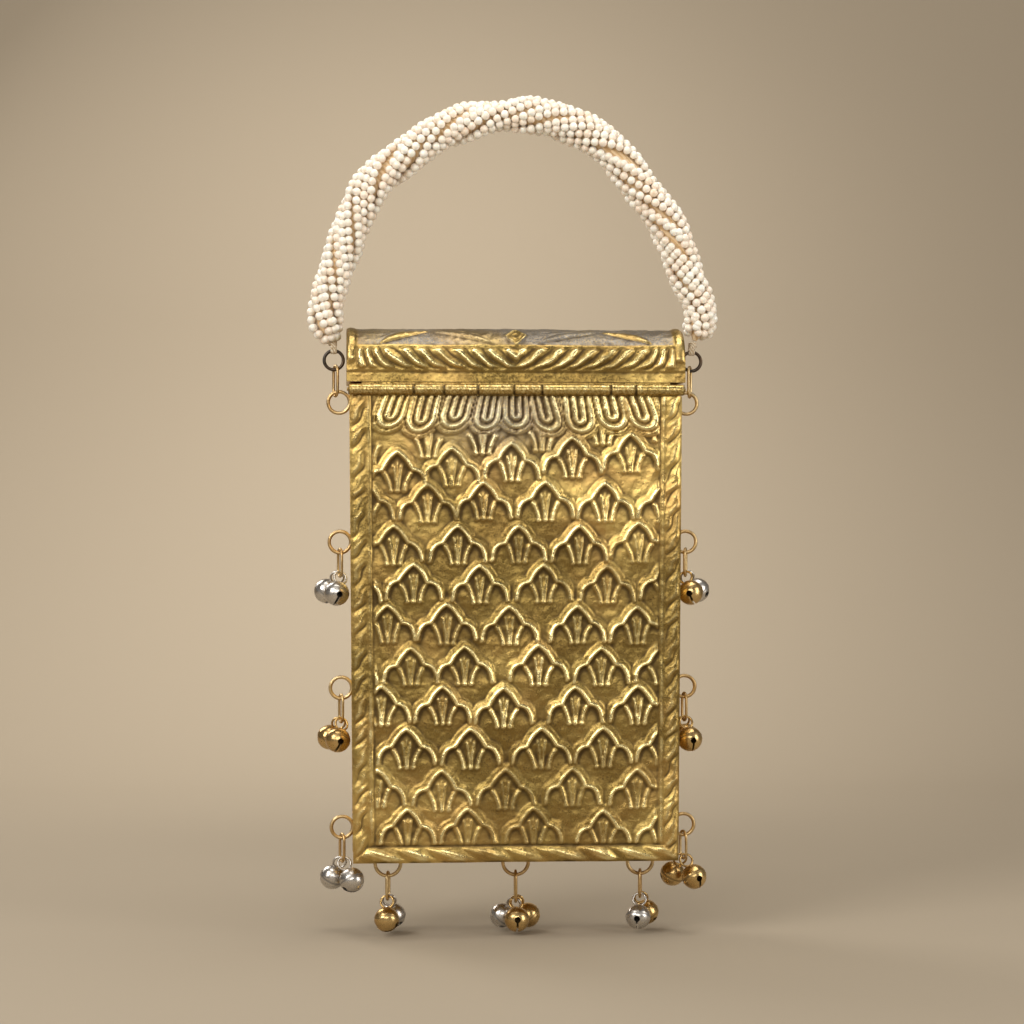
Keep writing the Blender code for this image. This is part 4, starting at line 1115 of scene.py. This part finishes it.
        obj = build("lid_chased", verts, faces, BRASS, masks, 70.0)
        return seat(obj, "lid", BRASS, "lid_shell")


def joined(*pieces: tuple[np.ndarray, list]) -> tuple[np.ndarray, list]:
    """Joins meshes into one.

    Args:
        *pieces: pairs of points and faces.

    Returns:
        All points and all faces.
    """
    faces, start = [], 0
    for verts, own in pieces:
        faces += [tuple(i + start for i in face) for face in own]
        start += len(verts)
    return np.vstack([verts for verts, _ in pieces]), faces


def ball(around: int, down: int) -> tuple[np.ndarray, list]:
    """A ball of radius 1 with its poles on Z.

    Args:
        around: number of points round it.
        down: number of steps from pole to pole.

    Returns:
        Its points, ring by ring between the poles, and its faces.
    """
    turn = np.linspace(0.0, math.tau, around, endpoint=False)
    rings = [(math.sin(p) * math.cos(a), math.sin(p) * math.sin(a), math.cos(p))
             for p in np.linspace(0.0, math.pi, down + 1)[1:-1] for a in turn]
    last = len(rings) + 1
    faces = []
    for k in range(around):
        n = (k + 1) % around
        faces += [(0, 1 + k, 1 + n), (last, last - around + n, last - around + k)]
        faces += [(a + k, a + around + k, a + around + n, a + n) for a in range(1, last - around, around)]
    return np.array([(0.0, 0.0, 1.0), *rings, (0.0, 0.0, -1.0)]), faces


def swept(path: np.ndarray, radius: float | np.ndarray, sides: int, closed: bool) -> tuple[np.ndarray, list]:
    """A round wire along a path.

    Args:
        path: the centre line's points.
        radius: its radius, or one for each point.
        sides: number of points around it.
        closed: whether the ends meet.

    Returns:
        Its points and faces.
    """
    count = len(path)
    radii = np.broadcast_to(radius, (count,))
    if closed:
        tangents = np.roll(path, -1, axis=0) - np.roll(path, 1, axis=0)
    else:
        tangents = np.gradient(path, axis=0)
    tangents /= np.linalg.norm(tangents, axis=1)[:, None]
    normal = np.cross(path[count // 3] - path[0], path[2 * count // 3] - path[0])
    if np.linalg.norm(normal) < 1e-6:
        normal = np.cross(tangents[0], (0.3, 0.9, 0.2))
    angles = np.linspace(0.0, math.tau, sides, endpoint=False)
    verts = []
    for point, tangent, r in zip(path, tangents, radii):
        normal = normal - tangent * normal.dot(tangent)
        normal /= np.linalg.norm(normal)
        other = np.cross(tangent, normal)
        verts.append(point + r * (np.cos(angles)[:, None] * normal + np.sin(angles)[:, None] * other))
    faces = []
    for i in range(count if closed else count - 1):
        a, b = i * sides, (i + 1) % count * sides
        for k in range(sides):
            n = (k + 1) % sides
            faces.append((a + k, a + n, b + n, b + k))
    if not closed:
        faces.append(tuple(range(sides - 1, -1, -1)))
        faces.append(tuple(range((count - 1) * sides, count * sides)))
    return np.vstack(verts), faces


def slab(low: Point, high: Point) -> tuple[np.ndarray, list]:
    """A box between two corners.

    Args:
        low: its lowest corner.
        high: its highest corner.

    Returns:
        Its points and faces.
    """
    xs, ys, zs = zip(low, high)
    verts = np.array([(x, y, z) for z in zs for y in ys for x in xs])
    return verts, [(0, 2, 3, 1), (4, 5, 7, 6), (0, 1, 5, 4), (2, 6, 7, 3), (0, 4, 6, 2), (1, 3, 7, 5)]


def circle(centre: Point, radius: float, steps: int = 40) -> np.ndarray:
    """A circle in the XZ plane.

    Args:
        centre: its middle.
        radius: its radius.
        steps: number of points.

    Returns:
        Its points.
    """
    a = np.linspace(0.0, math.tau, steps, endpoint=False)
    return np.array(centre) + radius * np.stack((np.sin(a), np.zeros(steps), np.cos(a)), axis=1)


def long_link(half: float, length: float, x: float, low: float, yaw: float) -> np.ndarray:
    """A long link whose lower wire centre is at a height.

    Args:
        half: half its inner width, to the wire's centre.
        length: its length between wire centres.
        x: its place across.
        low: the lower wire centre's height.
        yaw: its turn about the vertical, in degrees.

    Returns:
        The wire's centre line.
    """
    lower = np.linspace(-0.5, 0.5, 13) * math.pi
    upper = np.linspace(0.5, -0.5, 13) * math.pi
    points = [(0.0, half * math.sin(a), half * (1 - math.cos(a))) for a in lower]
    points += [(0.0, half * math.sin(a), length - half * (1 - math.cos(a))) for a in upper]
    turn = Matrix.Rotation(math.radians(yaw), 3, "Z")
    return np.array([turn @ Vector(p) + Vector((x, 0.0, low)) for p in points])


def ring_x(z: float) -> float:
    """Distance from the middle to a soldered ring's centre.

    Args:
        z: the ring's height.

    Returns:
        The distance.
    """
    return half_width(z) - Case.band_recess + Case.gap + Ironwork.ring_r + Ironwork.ring_wire


@dataclass
class Ironwork:
    """Soldered rings, bottom loops, handle links and the dark rings."""

    seed: int = 11
    ring_wire: float = 0.65  # wires are given by their radius
    ring_r: float = 3.65
    top_ring_z: float = -90.97
    side_ring_z: tuple = (-138.5, -188.1, -235.5)
    loop_x: tuple = tuple(share * Case.bottom_half_w for share in (-0.783, 0.013, 0.794))
    loop_r: float = 4.35
    loop_low: float = -252.25
    link_wire: float = 0.5
    dark_wire: float = 0.6
    dark_ring_z: float = -76.6
    dark_ring_r: float = 3.25
    dark_ring_x: float = Lid.half_w + 0.45 + dark_wire + dark_ring_r
    handle_link_x: float = dark_ring_x - 0.6
    handle_link_half_w: float = 2.0
    handle_link_yaw: float = 20.0

    def wire(self, name: str, path: np.ndarray, radius: float, finish: Metal, body: str, node: str,
             closed: bool = True) -> None:
        """Builds one wire with a slightly uneven thickness.

        Args:
            name: the piece's name.
            path: its centre line.
            radius: its radius.
            finish: its metal.
            body: the body that it rides on.
            node: the node that it stands for.
            closed: whether its ends meet.
        """
        rng = np.random.default_rng(self.seed + len(name) + len(bpy.data.objects))
        t = np.linspace(0.0, math.tau, len(path), endpoint=False)
        uneven = 0.94 + 0.035 * np.sin(2 * t + rng.uniform(0, 6)) + 0.02 * np.sin(5 * t + rng.uniform(0, 6))
        verts, faces = swept(path, radius * uneven, 12, closed)
        seat(build(name, verts, faces, finish), body, finish, node)

    def dress(self) -> None:
        """Builds all the wires."""
        for label, sign in (("left", -1), ("right", 1)):
            names = [label + "_handle_ring"] + ["%s_bell_ring_%d" % (label, k + 1) for k in range(3)]
            for name, z in zip(names, (self.top_ring_z, *self.side_ring_z)):
                path = circle((sign * ring_x(z), 0.0, z), self.ring_r)
                self.wire(name + "_wire", path, self.ring_wire, WIRE_BRASS, "case", name)
            x = sign * self.handle_link_x
            off_dark = self.dark_ring_x - self.handle_link_x
            off_ring = self.handle_link_x - ring_x(self.top_ring_z)
            high = self.dark_ring_z - math.sqrt(self.dark_ring_r**2 - off_dark**2)
            low = self.top_ring_z + math.sqrt(self.ring_r**2 - off_ring**2)
            high += self.dark_wire + self.link_wire + Case.loose
            low -= self.ring_wire + self.link_wire + Case.loose
            path = long_link(self.handle_link_half_w, high - low, x, low, -sign * self.handle_link_yaw)
            node = label + "_handle_link"
            self.wire(node + "_wire", path, self.link_wire, WIRE_BRASS, label + "_link", node)
            path = circle((sign * self.dark_ring_x, 0.0, self.dark_ring_z), self.dark_ring_r)
            self.wire(label + "_dark_ring_wire", path, self.dark_wire, GUNMETAL, "handle", label + "_dark_ring")
        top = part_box("bottom_loop_1")[1].z / MM
        for k, x in enumerate(self.loop_x):
            arc = [(x - self.loop_r * math.cos(a), 0.0, self.loop_low + self.loop_r - self.loop_r * math.sin(a))
                   for a in np.linspace(0.0, math.pi, 25)]
            path = np.array([(x - self.loop_r, 0.0, top), *arc, (x + self.loop_r, 0.0, top)])
            name = "bottom_loop_%d" % (k + 1)
            self.wire(name + "_wire", path, self.ring_wire, WIRE_BRASS, "case", name, closed=False)


@dataclass
class Barrel:
    """The hammered skins of the hinge's knuckles."""

    seed: int = 31
    skin: float = 0.14
    y: float = -Lid.half_depth - 0.7
    z: float = -87.2
    radius: float = 1.7
    shares: tuple = (-0.993, -0.607, -0.430, -0.230, -0.018, 0.147, 0.554, 0.702, 0.993)  # the knuckles' ends

    def dress(self) -> None:
        """Builds a skin for each knuckle, on the case and the lid by turns."""
        rng = np.random.default_rng(self.seed)
        for k, (first, last) in enumerate(zip(self.shares, self.shares[1:])):
            x0, x1 = first * Lid.half_w + 0.5 * Case.gap, last * Lid.half_w - 0.5 * Case.gap
            x = np.linspace(x0, x1, round((x1 - x0) / 0.35) + 1)
            end = np.minimum(x - x0, x1 - x)
            radius = self.radius + self.skin * smooth_step(end, 0.0, 0.45) + rng.uniform(-0.03, 0.03, len(x))
            path = np.stack((x, np.full(len(x), self.y), np.full(len(x), self.z)), axis=1)
            verts, faces = swept(path, radius, 24, False)
            # painted shade: each knuckle darkens towards its ends, in the gaps between the knuckles
            dark = np.repeat(1.0 - smooth_step(end, 0.1, 0.6), 24)
            worn = np.clip(rng.normal(0.15, 0.3, len(verts)), 0.0, 0.7)
            masks = {"recess": dark, "crest": worn * (1 - dark), "patina": np.full(len(verts), 0.6)}
            obj = build("knuckle_%d" % (k + 1), verts, faces, BRASS, masks)
            seat(obj, ("case", "lid")[k % 2], BRASS)


@dataclass(frozen=True)
class Bell:
    """One bell of a cluster: where it sits on the link and how far it stands off."""

    along: float
    tilt: float
    off_x: float
    finish: Metal
    slot_turn: float = 0.0
    link_half_w: float = 2.3
    drop: float = 7.3  # from the pivot to the middle of the bell

    def matrix(self, x: float, z: float, yaw: float) -> Matrix:
        """The bell's place under a link.

        Args:
            x: the link's place across.
            z: the link's lower wire centre.
            yaw: the link's turn about the vertical, in degrees.

        Returns:
            The matrix from the bell's own axes, in millimetres.
        """
        rise = self.link_half_w - math.sqrt(self.link_half_w**2 - self.along**2)
        turn, tilt = math.radians(yaw), math.radians(self.tilt)
        pivot = Vector((x - self.along * math.sin(turn), self.along * math.cos(turn), z + rise))
        from_yaw = -(self.along + self.drop * math.sin(tilt)) * math.sin(turn)
        swing = -math.asin((self.off_x - from_yaw) / (self.drop * math.cos(tilt) * math.cos(turn)))
        spin = Matrix.Rotation(turn, 4, "Z") @ Matrix.Rotation(swing, 4, "Y") @ Matrix.Rotation(tilt, 4, "X")
        return Matrix.Translation(pivot) @ spin


SPLAY = 28.0  # the usual tilt of a bell to the front or the back
SEAT = 1.3  # the usual distance of a bell's loop from the middle of its link
# Each cluster: name, side (0 for the bottom), number along it, turn of its link, its bells
CLUSTERS = (
    ("left_1", -1, 0, 15.0, (Bell(-SEAT, -SPLAY, -1.1, SILVER), Bell(SEAT, SPLAY, -4.6, SILVER, 40))),
    ("left_2", -1, 1, 15.0, (Bell(-SEAT, -SPLAY, -1.1, GOLD), Bell(SEAT, SPLAY, -3.9, GOLD, 90))),
    ("left_3", -1, 2, 18.0, (Bell(-SEAT, -SPLAY, 3.3, SILVER, 90), Bell(SEAT, SPLAY, -3.3, SILVER, 40))),
    ("right_1", 1, 0, -15.0, (Bell(-SEAT, -SPLAY, 1.1, GOLD), Bell(SEAT, SPLAY, 4.6, SILVER, 40))),
    ("right_2", 1, 1, 10.0, (Bell(-SEAT, -SPLAY, 1.3, GOLD), Bell(SEAT, SPLAY, 1.1, GOLD, 90))),
    ("right_3", 1, 2, 18.0, (Bell(-SEAT, -SPLAY, 3.2, GOLD), Bell(SEAT, SPLAY, -3.2, GOLD, 90))),
    ("bottom_1", 0, 0, -12.0, (Bell(-SEAT, -SPLAY, -0.5, GOLD, 90), Bell(SEAT, SPLAY, 1.9, SILVER, 40))),
    ("bottom_2", 0, 1, 0.0, (Bell(-1.75, -36.0, 0.0, GOLD), Bell(0.0, 24.0, -4.4, SILVER, 40),
                             Bell(1.5, 12.0, 4.4, GOLD, 90))),
    ("bottom_3", 0, 2, -12.0, (Bell(-SEAT, -SPLAY, -1.2, SILVER), Bell(SEAT, SPLAY, 2.7, GOLD, 40))),
)


@dataclass
class Bells:
    """The links with their jingle bells."""

    around: int = 36
    down: int = 24
    radius: float = 4.35
    wall: float = 0.6
    loop_r: float = 2.2
    loop_wire: float = 0.45
    link_len: float = 9.4
    long_link_len: float = 10.6
    slot_w: float = 0.7
    keyhole_r: float = 1.05
    keyhole_angle: float = 60.0
    inset: float = 0.12  # keeps the pressed lips inside the solid's ball
    seam_w: float = 0.055  # angle of the seam from its middle, in radians
    seam_h: float = 0.06
    lip_off: float = 0.14  # angle from the seam to the lips, in radians
    lip_w: float = 0.06
    lip_h: float = 0.10
    worn_wire: float = 0.84  # share of the loop's wire that wear has left
    loop_dirt: float = 0.12

    def shell(self) -> tuple[np.ndarray, np.ndarray, list]:
        """The two pressed halves with a seam, as an outer and an inner skin.

        Returns:
            The points, the masks at them and the faces.
        """
        unit, faces = ball(self.around, self.down)
        off = abs(np.arccos(np.clip(unit[:, 2], -1.0, 1.0)) - 0.5 * math.pi)
        seam, lip = hump(off, 0.0, self.seam_w), hump(off, self.lip_off, self.lip_w)
        radii = self.radius - self.inset + self.lip_h * lip - self.seam_h * seam
        radii[[0, -1]] = self.radius  # the poles stay on the solid's ball
        drop = (0.0, 0.0, Bell.drop)
        outer = radii[:, None] * unit - drop
        inner = (self.radius - self.wall) * unit - drop
        verts, faces = joined((outer, faces), (inner, [face[::-1] for face in faces]))
        # painted shade with dirt on the seam's groove, painted shade over the whole inner skin
        return verts, np.concatenate((0.85 * seam, np.full(len(unit), 0.9))), faces

    def cutters(self, turn: float) -> list[bpy.types.Object]:
        """The bodies that cut the slot and its two round ends.

        Args:
            turn: the slot's turn about the bell's axis, in degrees.

        Returns:
            The cutting objects.
        """
        angle = math.radians(self.keyhole_angle)
        reach = self.radius * math.sin(angle)
        low, high = -Bell.drop - self.radius - 1.0, -Bell.drop - self.radius * math.cos(angle)
        bodies = [slab((-self.slot_w / 2, -reach, low), (self.slot_w / 2, reach, high))]
        for sign in (-1.0, 1.0):
            aim = np.array((0.0, sign * math.sin(angle), -math.cos(angle)))
            middle = np.array((0.0, 0.0, -Bell.drop))
            ends = np.array((middle + aim * (self.radius - 2.2), middle + aim * (self.radius + 1.5)))
            bodies.append(swept(ends, self.keyhole_r, 20, False))
        spin = np.array(Matrix.Rotation(math.radians(turn), 3, "Z"))
        return [build("slot_tool", verts @ spin.T, faces, SILVER) for verts, faces in bodies]

    def mesh(self, turn: float) -> bpy.types.Mesh:
        """The bell with its slot and its loop, hung from the origin.

        Args:
            turn: the slot's turn about the bell's axis, in degrees.

        Returns:
            The mesh.
        """
        verts, recess, faces = self.shell()
        body = build("bell_body", verts, faces, SILVER, {"recess": recess})
        tools = self.cutters(turn)
        for tool in tools:
            modifier = body.modifiers.new("slot", "BOOLEAN")
            modifier.operation = "DIFFERENCE"
            modifier.solver = "EXACT"
            modifier.object = tool
        bpy.context.view_layer.update()
        graph = bpy.context.evaluated_depsgraph_get()
        cut = bpy.data.meshes.new_from_object(body.evaluated_get(graph))
        loop_z = self.loop_wire + Ironwork.link_wire + Case.loose - self.loop_r
        loop = swept(circle((0.0, 0.0, loop_z), self.loop_r, 28), self.worn_wire * self.loop_wire, 10, True)
        halves = np.array([v.co for v in cut.vertices]) / MM, [tuple(p.vertices) for p in cut.polygons]
        # the painted shade of the seam and the inner skin, read back after the cut
        worn = np.zeros(len(halves[0]), np.float32)
        cut.attributes["recess"].data.foreach_get("value", worn)
        masks = {"recess": np.concatenate((worn, np.full(len(loop[0]), self.loop_dirt)))}
        whole = build("bell_whole", *joined(halves, loop), SILVER, masks, 40.0)
        mesh = whole.data
        for helper in (body, whole, *tools):
            bpy.data.objects.remove(helper, do_unlink=True)
        return mesh

    def dress(self) -> None:
        """Builds the links and hangs the bells on them."""
        meshes: dict[tuple[float, str], bpy.types.Mesh] = {}
        shapes: dict[float, bpy.types.Mesh] = {}
        irons = Ironwork(23)
        for name, side, index, yaw, bells in CLUSTERS:
            length = self.long_link_len if len(bells) > 2 else self.link_len
            x = side * ring_x(Ironwork.side_ring_z[index]) if side else Ironwork.loop_x[index]
            wire_z = Ironwork.side_ring_z[index] - Ironwork.ring_r if side else Ironwork.loop_low
            low = wire_z + Ironwork.ring_wire + Ironwork.link_wire + Case.loose - length
            path = long_link(Bell.link_half_w, length, x, low, yaw)
            node = "bell_link_" + name
            irons.wire(node + "_wire", path, irons.link_wire, WIRE_BRASS, "link_" + name, node)
            for letter, bell in zip("abc", bells):
                if bell.slot_turn not in shapes:
                    shapes[bell.slot_turn] = self.mesh(bell.slot_turn)
                key = (bell.slot_turn, bell.finish.name)
                if key not in meshes:
                    meshes[key] = shapes[bell.slot_turn].copy()
                    meshes[key].materials.clear()
                    meshes[key].materials.append(Wardrobe.get(bell.finish))
                node = "bell_%s_%s" % (name, letter)
                obj = placed(node + "_pressed", meshes[key])
                place = bell.matrix(x, low, yaw)
                place.translation *= MM
                obj.matrix_world = place
                seat(obj, node, bell.finish, node)


@dataclass
class PearlRope:
    """The twisted strands of pearls round a core of thread."""

    seed: int = 3
    stations: int = 600
    around: int = 12  # points round a pearl
    down: int = 8
    pearl_r: float = 1.5
    pearl_step: float = 2.92
    strands: int = 11
    turns: float = 3.2
    arch_r: float = 7.2
    leg_r: float = 6.4
    leg_top_z: float = -38.0
    leg_run: float = 17.0
    neck_r: float = 5.8
    neck_x: float = -4.0
    neck_w: float = 6.0
    tie_z: float = -64.0  # where the strands start to gather
    end_r: float = 3.0
    sink: float = 0.35  # half the greatest depth to which a strand sinks between the others
    core_depth: float = 2.2  # pearl radii from the bundle's outside to the core's
    end_z: float = -70.4
    foot_x: float = Ironwork.dark_ring_x + 0.6
    # The centre line's places: share of the foot's distance from the middle, and height
    places: tuple = (
        (-1.0, end_z), (-1.037, -62.5), (-1.024, -55.0), (-0.987, -48.0), (-0.903, -31.8), (-0.782, -16.8),
        (-0.606, -7.2), (-0.407, 1.4), (-0.174, 6.3), (0.024, 7.5), (0.246, 5.8), (0.488, -1.4),
        (0.693, -15.7), (0.864, -30.8), (0.968, -47.5), (1.021, -55.5), (1.037, -62.5), (1.0, end_z),
    )

    def __post_init__(self) -> None:
        """Works out the centre line once."""
        self.line = np.array([self.point(k / (self.stations - 1)) for k in range(self.stations)])
        steps = np.linalg.norm(np.diff(self.line, axis=0), axis=1)
        self.along = np.concatenate(((0.0,), np.cumsum(steps)))
        self.tangent = np.gradient(self.line, axis=0)
        self.tangent /= np.linalg.norm(self.tangent, axis=1)[:, None]
        self.out = np.cross(self.tangent, (0.0, 1.0, 0.0))
        self.radius = np.array([self.outer(p) for p in self.line])

    def point(self, share: float) -> np.ndarray:
        """A point of the centre line, smooth through its named places.

        Args:
            share: how far along it lies, from 0 to 1.

        Returns:
            The point.
        """
        span = len(self.places) - 1
        at = min(share * span, span - 1e-6)
        k = int(at)
        t = at - k
        scale = (self.foot_x, 1.0)
        p = [np.array(self.places[min(max(i, 0), span)]) * scale for i in (k - 1, k, k + 1, k + 2)]
        c = 2 * p[0] - 5 * p[1] + 4 * p[2] - p[3]
        d = 3 * p[1] - p[0] - 3 * p[2] + p[3]
        q = 0.5 * (2 * p[1] + (p[2] - p[0]) * t + c * t * t + d * t**3)
        return np.array((q[0], 0.0, q[1]))

    def outer(self, point: np.ndarray) -> float:
        """The bundle's outer radius: full in the arch, slim at the neck, small at the ends.

        Args:
            point: a point of the centre line.

        Returns:
            The radius.
        """
        x, _, z = point
        leg = min(max((self.leg_top_z - z) / self.leg_run, 0.0), 1.0)
        radius = self.arch_r + (self.leg_r - self.arch_r) * leg
        if z > 0:
            radius -= (self.arch_r - self.neck_r) * hump(x, self.neck_x, self.neck_w)
        end = min(max((self.tie_z - z) / (self.tie_z - self.end_z), 0.0), 1.0)
        return radius + (self.end_r - radius) * end**1.6

    def strand(self, index: int, rng: np.random.Generator) -> np.ndarray:
        """The centre line of one strand of pearls.

        Args:
            index: the strand's number.
            rng: the source of its small wanderings.

        Returns:
            Its points.
        """
        share = self.along / self.along[-1]
        phase = math.tau * (self.turns * share + index / self.strands)
        for waves, size in ((2.3, 0.16), (5.1, 0.09)):
            phase = phase + size * np.sin(math.tau * waves * share + rng.uniform(0, math.tau))
        dip = self.sink * (1 + np.sin(math.tau * rng.uniform(3, 5) * share + rng.uniform(0, math.tau)))
        radius = np.maximum(self.radius - self.pearl_r - 0.05 - dip * (self.radius > 4.5), 0.9)
        across = np.array((0.0, 1.0, 0.0))
        return (self.line + self.out * (radius * np.cos(phase))[:, None]
                + across * (radius * np.sin(phase))[:, None])

    def dress(self) -> None:
        """Builds the strands and the core."""
        unit, unit_faces = ball(self.around, self.down)
        for index in range(self.strands):
            rng = np.random.default_rng(self.seed * 100 + index)
            line = self.strand(index, rng)
            along = np.concatenate(((0.0,), np.cumsum(np.linalg.norm(np.diff(line, axis=0), axis=1))))
            count = int((along[-1] - 2 * self.pearl_r) / self.pearl_step)
            places = self.pearl_r + 0.2 + np.arange(count) * self.pearl_step + rng.uniform(-0.08, 0.08, count)
            centres = np.stack([np.interp(places, along, line[:, i]) for i in range(3)], axis=1)
            sizes = self.pearl_r * rng.uniform(0.93, 1.02, count)
            verts, faces = joined(*[(centre + size * unit, unit_faces) for centre, size in zip(centres, sizes)])
            tone = np.repeat(rng.uniform(0.0, 1.0, count), len(unit))
            obj = build("pearl_strand_%d" % (index + 1), verts, faces, PEARL, {"tone": tone}, 180.0)
            seat(obj, "handle", PEARL)
        every = slice(4, self.stations - 4, 6)
        path, radius = self.line[every], np.maximum(self.radius[every] - self.core_depth * self.pearl_r, 0.8)
        verts, faces = swept(path, radius, 14, False)
        core = build("rope_core", verts, faces, CORE)
        seat(core, "handle", CORE, "pearl_rope", "left_rope_leg", "right_rope_leg")


@dataclass
class ThreadEnds:
    """The thread that ties each end of the rope to its dark ring."""

    turns: int = 5
    step: float = 0.42  # from turn to turn
    radius: float = 0.26
    wrap_radius: float = 0.27
    wrap_r: float = 1.25  # of the turns that bind the others
    sides: int = 7

    def turn(self, number: int, x: float, sign: int, top: float, low: float) -> np.ndarray:
        """One turn of thread through the ring.

        Args:
            number: the turn's number.
            x: the ring's place across.
            sign: -1 for the left end, 1 for the right.
            top: where the turn starts and ends, inside the rope.
            low: height of the ring's upper wire.

        Returns:
            Its centre line.
        """
        shift = (number - (self.turns - 1) / 2) * self.step
        reach = Ironwork.dark_wire + 0.34 + 0.10 * (number % 2)
        arc = [(x + shift, -reach * math.cos(a), low - reach * math.sin(a))
               for a in np.linspace(0, math.pi, 11)]
        ends = [(x + sign * 0.6 + 0.5 * shift, y, top) for y in (-1.2, 1.2)]
        sides = [(x + shift, y * reach, low + 1.0) for y in (-1.25, 1.25)]
        return np.array([ends[0], sides[0], *arc, sides[1], ends[1]])

    def dress(self) -> None:
        """Builds both ends."""
        for label, sign in (("left", -1), ("right", 1)):
            x = sign * Ironwork.dark_ring_x
            low = Ironwork.dark_ring_z + Ironwork.dark_ring_r
            lines = [self.turn(k, x, sign, PearlRope.end_z + 0.6, low) for k in range(self.turns)]
            wrap = [(x + sign * 0.35 + self.wrap_r * math.cos(a), self.wrap_r * math.sin(a),
                     low + 1.7 + 0.5 * a / math.tau) for a in np.linspace(0, 3 * math.tau, 50)]
            pieces = [swept(line, self.radius, self.sides, False) for line in lines]
            pieces.append(swept(np.array(wrap), self.wrap_radius, self.sides, False))
            seat(build(label + "_thread_tie", *joined(*pieces), CORD), "handle", CORD, label + "_thread_loop")


@dataclass
class Hardware:
    """The frame's own nodes that stay, each with its finish."""

    brass: tuple[str, ...] = ("side_band", "hinge_leaf_case", "hinge_leaf_lid", "hinge_pin", "clasp_tab",
                              "clasp_stud")
    velvet: tuple[str, ...] = ("velvet_lining", "lid_lining")

    def dress(self) -> None:
        """Gives each kept node its material."""
        for names, finish in ((self.brass, BRASS), (self.velvet, VELVET)):
            for name in names:
                node = frame["nodes"][name]
                node.data.materials.clear()
                node.data.materials.append(Wardrobe.get(finish))
                LOG.info("node %s kept", name)


@dataclass
class Studio:
    """Floor, backdrop, lights and camera."""

    floor_colour: str = "#9D917F"
    light_colour: str = "#FFFAF2"
    room_colour: str = "#C9C3BB"
    room_strength: float = 0.30
    floor_near: float = -1700.0
    floor_far: float = 420.0
    floor_half_w: float = 1500.0
    bend: float = 260.0  # radius of the turn from floor to backdrop
    backdrop_top: float = 1100.0
    hover: float = 1.0  # the hanging bells end this far above the floor
    distance: float = 858.0  # from the camera to the bag
    azimuth: float = -4.0
    height: float = -128.25
    aim_x: float = -0.5
    picture_w: float = 350.2  # width that the picture shows at the middle of the bag
    sensor: float = 36.0
    # Name, place, aim, width and height, power in watts, spread in degrees
    lamps: tuple = (
        ("key", (-620.0, -560.0, 330.0), (0.0, 0.0, -150.0), (420.0, 560.0), 4.8, 180.0),
        ("fill", (760.0, -420.0, 60.0), (0.0, 0.0, -150.0), (380.0, 640.0), 3.2, 180.0),
        ("front", (-60.0, -1000.0, 190.0), (0.0, 0.0, -150.0), (640.0, 420.0), 3.0, 180.0),
        ("top", (60.0, -60.0, 620.0), (0.0, 0.0, -150.0), (760.0, 420.0), 3.9, 180.0),
        ("rim", (-420.0, 420.0, 260.0), (0.0, 0.0, -150.0), (300.0, 420.0), 2.0, 180.0),
        ("wall", (0.0, 330.0, 160.0), (0.0, 680.0, -190.0), (260.0, 260.0), 0.6, 110.0),
    )

    def floor(self) -> None:
        """A pale sheet that lies under the bag and rises behind it."""
        low = CAD_BOX[0].z / MM - self.hover
        near, flat, bend, high = self.floor_near, self.floor_far, self.bend, self.backdrop_top
        profile = [(near, low), (flat, low)]
        profile += [(flat + bend * math.sin(a), low + bend * (1 - math.cos(a)))
                    for a in np.linspace(0.1, 0.5 * math.pi, 16)]
        profile.append((flat + bend, high))
        columns = np.linspace(-self.floor_half_w, self.floor_half_w, 7)
        verts = np.array([(x, y, z) for y, z in profile for x in columns])
        finish = Plaster("pale_floor", self.floor_colour)
        build("studio_floor", verts, grid_faces(len(profile), len(columns)).tolist(), finish)

    def light(self, name: str, place: Point, aim: Point, size: Point, power: float, spread: float) -> None:
        """Adds a softbox.

        Args:
            name: its name.
            place: its middle, in millimetres.
            aim: where it points, in millimetres.
            size: its width and height, in millimetres.
            power: its power, in watts.
            spread: how wide its light fans out, in degrees.
        """
        lamp = bpy.data.lights.new(name, "AREA")
        lamp.shape = "RECTANGLE"
        lamp.size, lamp.size_y = size[0] * MM, size[1] * MM
        lamp.energy = power
        lamp.spread = math.radians(spread)
        lamp.color = srgb(self.light_colour)[:3]
        obj = placed(name, lamp)
        obj.location = Vector(place) * MM
        obj.rotation_euler = (Vector(aim) - Vector(place)).to_track_quat("-Z", "Y").to_euler()

    def camera(self) -> None:
        """Places the camera as in the picture."""
        data = bpy.data.cameras.new("camera")
        data.sensor_width = self.sensor
        data.lens = self.sensor * self.distance / self.picture_w
        data.clip_start, data.clip_end = 0.05, 20.0
        obj = placed("camera", data)
        turn = math.radians(self.azimuth)
        aim = Vector((self.aim_x, 0.0, self.height))
        back = Vector((math.sin(turn), -math.cos(turn), 0.0))
        obj.location = (aim + back * self.distance) * MM
        obj.rotation_euler = (-back).to_track_quat("-Z", "Y").to_euler()
        bpy.context.scene.camera = obj

    def world(self) -> None:
        """A dim warm room."""
        world = bpy.data.worlds.new("room")
        world.use_nodes = True
        bpy.context.scene.world = world
        background = world.node_tree.nodes["Background"]
        background.inputs["Color"].default_value = srgb(self.room_colour)
        background.inputs["Strength"].default_value = self.room_strength

    def dress(self) -> None:
        """Sets up the studio."""
        bpy.context.scene.view_settings.view_transform = "Standard"
        self.floor()
        self.world()
        self.camera()
        for lamp in self.lamps:
            self.light(*lamp)


def main() -> None:
    """Builds every piece, then the studio."""
    logging.basicConfig(level=logging.INFO, format="%(message)s")
    panels = Panel("back_panel", -1, Case.hinged_top, 7), Panel("front_panel", 1, Case.top, 17)
    others = Lid(), Barrel(), Ironwork(), Bells(), PearlRope(), ThreadEnds(), Hardware(), Studio()
    for part in (*panels, *others):
        part.dress()


if __name__ == "__main__":
    main()
